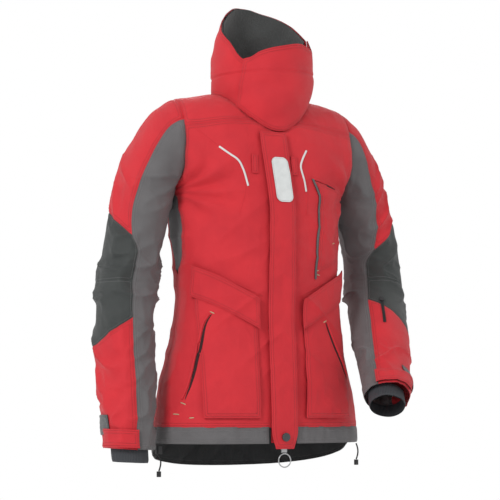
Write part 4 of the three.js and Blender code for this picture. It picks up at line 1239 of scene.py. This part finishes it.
SEAM_RIDGE = 0.0024
RIGHT_YOKE = [(-0.178, -0.058), (-0.150, -0.087), (-0.128, -0.106), (-0.099, -0.128), (-0.085, -0.149),
              (-0.079, -0.168),
              (-0.078, -0.190), (-0.082, -0.213), (-0.089, -0.240)]
LEFT_YOKE = [(0.060, -0.150), (0.060, -0.190), (0.058, -0.235)]
for name, route in (("right_chest_seam", RIGHT_YOKE), ("left_chest_seam", LEFT_YOKE),
                    ("right_pocket_seam",
                     [(-0.170, -0.334), (-0.120, -0.362), (-0.080, -0.381), (-0.040, -0.399)]),
                    ("left_pocket_seam",
                     [(0.170, -0.334), (0.120, -0.362), (0.080, -0.381), (0.040, -0.399)])):
    trim(name, route, touch, SEAM_RIDGE, 0.0005, red_shell, taper=0.5, crown=0.3)

# ---- Pocket openings and bartacks ----
# Each hand pocket is reached through a slanting zip under a narrow welt, and short cream bartacks lock
#  the ends. The chest pocket opens along its top and its lower edge. Each opening is drawn as a thin dark
#  strip of painted shadow beside its welt.


# Painted shadow: a dark red strip stands for the shade in the gap under a pocket welt.
def shadow_finish():
    finish = Finish("pocket_opening_shadow", Roughness=0.9)
    shade = finish.mix(finish.noise(0.004, 2), (0.012, 0.004, 0.005, 1), (0.05, 0.012, 0.015, 1))
    finish.feed("Base Color", shade)
    return finish.material


def bartack_finish():
    finish = Finish("cream_thread", Roughness=0.6)
    satin = (finish.attribute("run") * (math.tau / 0.0007)).function("SINE")
    finish.feed("Base Color", finish.mix(satin * 0.3 + 0.5, (0.72, 0.60, 0.32, 1), (0.90, 0.82, 0.56, 1)))
    finish.bump(satin, 0.0003)
    return finish.material


opening_shadow = shadow_finish()
cream = bartack_finish()
touch = touch_maker([
    "right_front", "left_front", "right_pocket", "left_pocket", "chest_pouch", "right_side", "left_side",
])
OPENING_HEIGHT = 0.0007
WELT_OFFSET = 0.0042
CHEST_OPENING = [(0.072, -0.163), (0.100, -0.168), (0.132, -0.177)]
CHEST_WELT = [(0.072, -0.1595), (0.100, -0.1645), (0.132, -0.1735)]
RIGHT_SLIT = [(-0.137, -0.436), (-0.146, -0.452), (-0.154, -0.478), (-0.161, -0.515), (-0.173, -0.562),
              (-0.187, -0.603)]
LEFT_SLIT = [(0.106, -0.449), (0.122, -0.485), (0.143, -0.525), (0.160, -0.562)]
# Each slit gets a thin dark strip of painted shadow, then its welt beside it.
for side, sign, route in (("right", -1, RIGHT_SLIT), ("left", 1, LEFT_SLIT)):
    trim(f"{side}_hand_opening_shadow", route, touch, 0.0062, OPENING_HEIGHT, opening_shadow, taper=0.8)
    welt_route = [(x + sign * WELT_OFFSET, z) for x, z in route]
    trim(f"{side}_hand_welt", welt_route, touch, 0.0058, 0.0034, red_shell, taper=0.25)
trim("chest_opening_shadow", CHEST_OPENING, touch, 0.0035, OPENING_HEIGHT, opening_shadow, taper=0.6)
trim("chest_opening_welt", CHEST_WELT, touch, 0.005, 0.0022, red_shell, taper=0.2)
BARTACK = 0.0075
BARTACKS = [(-0.136, -0.433, -0.5), (-0.190, -0.611, -0.5), (-0.200, -0.632, -0.1), (-0.178, -0.639, 0.1),
            (0.136, -0.286, 0.3), (0.086, -0.345, 0.2), (0.090, -0.353, -0.2), (0.104, -0.447, 0.5)]
for number, (x, z, slope) in enumerate(BARTACKS):
    across, rise = math.cos(slope) * BARTACK / 2, math.sin(slope) * BARTACK / 2
    trim(f"bartack_{number + 1}", [(x - across, z - rise), (x + across, z + rise)], touch, 0.0019, 0.0011,
         cream,
         step=0.002)

# ---- Front zip ----
# A coarse moulded-tooth zip on black tape runs under the storm flap from the collar to the hem. Its lower
# slider has a steel ring to pull it by.

TOOTH_PITCH = 0.0032
TOOTH = (0.0021, 0.0009, 0.0011)
SKIN_GRAIN = 0.004


def moulded_finish(name, dark, light, roughness, metallic=0.0):
    """Moulded or cast hard parts: a fine uneven skin with rubbed high spots."""
    finish = Finish(name, Metallic=metallic)
    skin = finish.noise(SKIN_GRAIN, 4, roughness=0.6)
    fine = finish.noise(SKIN_GRAIN / 8, 2)
    finish.feed("Base Color", finish.mix(skin, dark, light))
    finish.feed("Roughness", skin * 0.2 + (roughness - 0.1))
    finish.bump(fine, 0.0001)
    return finish.material


black_tape = woven_finish("black_zip_tape", (0.020, 0.020, 0.021, 1), (0.012, 0.012, 0.013, 1),
                          (0.035, 0.035, 0.036, 1),
                          (0.05, 0.05, 0.05, 1), roughness=0.75, weave=0.0008)
black_plastic = moulded_finish("black_moulded_plastic", (0.013, 0.013, 0.014, 1), (0.035, 0.035, 0.037, 1),
                               0.42)
steel = moulded_finish("brushed_steel", (0.36, 0.36, 0.37, 1), (0.62, 0.62, 0.63, 1), 0.34, metallic=1.0)
dark_snap = moulded_finish("dark_lacquered_snap", (0.055, 0.057, 0.060, 1), (0.13, 0.133, 0.138, 1), 0.36,
                           metallic=0.8)


def zip_teeth(name, line, outs, sides, body, material):
    """Small moulded teeth in two rows that mesh along a line."""
    points, faces = [], []
    half = np.array(TOOTH) / 2
    for number, (place, out, across) in enumerate(zip(line, outs, sides)):
        along = np.cross(out, across)
        centre = place + across * (half[0] * (0.5 if number % 2 else -0.5)) + out * half[2]
        start = len(points)
        for a, b, c in ((-1, -1, -1), (1, -1, -1), (1, 1, -1), (-1, 1, -1),
                        (-0.7, -0.6, 1), (0.7, -0.6, 1), (0.7, 0.6, 1), (-0.7, 0.6, 1)):
            points.append(centre + across * half[0] * a + along * half[1] * b + out * half[2] * c)
        faces += [[start + i for i in face] for face in (
            (3, 2, 1, 0), (4, 5, 6, 7), (0, 1, 5, 4), (1, 2, 6, 5), (2, 3, 7, 6), (3, 0, 4, 7))]
    mesh = bpy.data.meshes.new(name)
    mesh.from_pydata([tuple(p) for p in points], [], faces)
    piece = link(name, mesh)
    face_outwards(piece)
    mesh.materials.append(material)
    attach(piece, body)


def tape_folds(points):
    return torso_folds(points) * 0.4


for side in ("right", "left"):
    tape = Cloth(f"{side}_zip_tape", torso_core, tape_folds, step=0.004).drape(turn=0.0003)
    sewn(f"{side}_front_zip_tape", tape, black_tape, "body", [f"{side}_zip_tape"],
         thickness=0.0009)
inner_edge = Cloth("left_zip_tape", torso_core, tape_folds, step=TOOTH_PITCH).drape(turn=0)
edge_line = inner_edge.grid[:, 0].copy()
edge_line[:, 0] = 0
level = np.tile((1.0, 0, 0), (len(edge_line), 1))
zip_teeth("front_zip_teeth", edge_line, inner_edge.normals[:, 0], level, "body", black_plastic)


def settle(piece, body, nodes, material, smooth_angle=35):
    """Puts a modelled piece's place into its mesh, and gives it its finish and its body."""
    bpy.ops.object.mode_set(mode="OBJECT")
    bpy.ops.object.transform_apply(location=True, rotation=True, scale=True)
    bpy.ops.object.shade_smooth_by_angle(angle=math.radians(smooth_angle))
    for modifier in list(piece.modifiers):
        bpy.ops.object.modifier_apply(modifier=modifier.name)
    piece.data.materials.clear()
    piece.data.materials.append(material)
    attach(piece, body)
    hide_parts(*nodes)


def begin(name):
    """Names the primitive that was just added, and opens it with nothing selected."""
    piece = bpy.context.object
    piece.name = name
    bpy.ops.object.mode_set(mode="EDIT")
    bpy.ops.mesh.select_all(action="DESELECT")
    return piece


def pick_faces(piece, test):
    """Selects the faces whose normal and centre pass a test."""
    bm = bmesh.from_edit_mesh(piece.data)
    bm.normal_update()
    for face in bm.faces:
        face.select_set(bool(test(face.normal, face.calc_center_median())))
    bmesh.update_edit_mesh(piece.data)


def middle_of(node):
    low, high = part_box(node)
    return (low + high) / 2, high - low


RIM_SHARE = 0.22
DISH_WALL_SHARE = 0.05
BRIDGE_SHARES = (0.24, 0.06)
BRIDGE_DEPTHS = (-0.2, 0.18)
SOFT_EDGE_SHARE = 0.14


def round_part(name, node, axis, sides, body, material, dish=0.22, bevel=0.12):
    """A turned or moulded round part: a cylinder with its rim rounded and its face dished."""
    place, size = middle_of(node)
    bpy.ops.object.select_all(action="DESELECT")
    across = size.x
    deep = size.y if axis == "Y" else size.z
    turn = (math.pi / 2, 0, 0) if axis == "Y" else (0, 0, 0)
    bpy.ops.mesh.primitive_cylinder_add(vertices=sides, radius=across / 2, depth=deep, location=place,
                                        rotation=turn)
    piece = begin(name)
    pick_faces(piece, lambda normal, centre: abs(normal.z) > 0.9)
    bpy.ops.mesh.inset(thickness=across * RIM_SHARE, depth=0)
    bpy.ops.mesh.inset(thickness=across * DISH_WALL_SHARE, depth=-deep * dish)
    bpy.ops.mesh.select_all(action="DESELECT")
    bpy.ops.object.mode_set(mode="OBJECT")
    edges = piece.modifiers.new("rounded rim", "BEVEL")
    edges.width = deep * bevel
    edges.segments = 3
    edges.limit_method = "ANGLE"
    settle(piece, body, [node], material)


round_part("flap_snap_cap", "snap_cap", "Y", 40, "front_flap", dark_snap)
round_part("snap_post", "snap_stud", "Y", 32, "body", steel)
for side in ("right", "left"):
    round_part(f"{side}_cord_end", f"{side}_cord_bead", "Z", 28, "body", black_plastic,
               dish=0.1, bevel=0.2)
round_part("right_cord_toggle", "right_cord_lock", "Z", 28, "body", black_plastic, dish=0.08,
           bevel=0.1)

place, size = middle_of("ring_pull")
RING_WIRE = size.y
bpy.ops.object.select_all(action="DESELECT")
bpy.ops.mesh.primitive_torus_add(major_radius=(size.x - RING_WIRE) / 2, minor_radius=RING_WIRE / 2,
                                 major_segments=56,
                                 minor_segments=14, location=place, rotation=(math.pi / 2, 0, 0))
ring = begin("zip_pull_ring")
settle(ring, "pull_ring", ["ring_pull"], steel, 60)


def slider_part(name, node, joint_name, out, body, material):
    """A cast zip slider, lying along its zip: a block with a raised bridge and softened edges."""
    along = Vector(joint_value(joint_name, "axis")).normalized()
    across = along.cross(Vector(out)).normalized()
    inward = along.cross(across).normalized()
    turn = Matrix((across, inward, along)).transposed()
    corners = np.array([v.co for v in frame["nodes"][node].data.vertices]) @ np.array(turn)
    size = corners.max(0) - corners.min(0)
    place = turn @ Vector((corners.max(0) + corners.min(0)) / 2)
    bpy.ops.object.select_all(action="DESELECT")
    bpy.ops.mesh.primitive_cube_add(size=1)
    piece = begin(name)
    bpy.ops.object.mode_set(mode="OBJECT")
    piece.scale = size
    bpy.ops.object.transform_apply(location=False, rotation=False, scale=True)
    bpy.ops.object.mode_set(mode="EDIT")
    pick_faces(piece, lambda normal, centre: normal.y < -0.9)
    for share, depth in zip(BRIDGE_SHARES, BRIDGE_DEPTHS):
        bpy.ops.mesh.inset(thickness=min(size[0], size[2]) * share, depth=size[1] * depth)
    bpy.ops.mesh.select_all(action="DESELECT")
    bpy.ops.object.mode_set(mode="OBJECT")
    edges = piece.modifiers.new("softened edges", "BEVEL")
    edges.width = size[1] * SOFT_EDGE_SHARE
    edges.segments = 3
    edges.limit_method = "ANGLE"
    piece.matrix_world = Matrix.Translation(place) @ turn.to_4x4()
    settle(piece, body, [node], material)


slider_part("front_zip_slider", "bottom_slider", "bottom_slider_slide", (0, -1, 0), "zip_slider",
            steel)

# ---- Sleeve zip ----
# A short water-resistant zip on the wearer's left forearm opens a small flat pass pocket.

zip_cloth = Cloth("sleeve_zip", cuff_core, folds, step=0.0016, down=fall).drape(turn=0.0002, width=0.001,
                                                                                pucker=0)
sewn("forearm_zip", zip_cloth, black_tape, "left_lower_arm", ["sleeve_zip"], thickness=0.001)
middle_column = zip_cloth.grid.shape[1] // 2
teeth_line = zip_cloth.grid[1:-1:2, middle_column]
teeth_out = zip_cloth.normals[1:-1:2, middle_column]
across = zip_cloth.grid[1:-1:2, -1] - zip_cloth.grid[1:-1:2, 0]
slider_part("forearm_zip_slider", "sleeve_zip_slider", "sleeve_zip_slide", tuple(teeth_out.mean(0)),
            "sleeve_slider",
            black_plastic)
zip_teeth("forearm_zip_teeth", teeth_line, teeth_out, across / np.linalg.norm(across, axis=1)[:, None],
          "left_lower_arm", black_plastic)

# ---- Hanging loop ----
# A short loop of black tape, bar-tacked inside the back of the neck to hang the jacket by.

frame["nodes"]["hanging_loop"].data.materials.clear()
frame["nodes"]["hanging_loop"].data.materials.append(black_plastic)
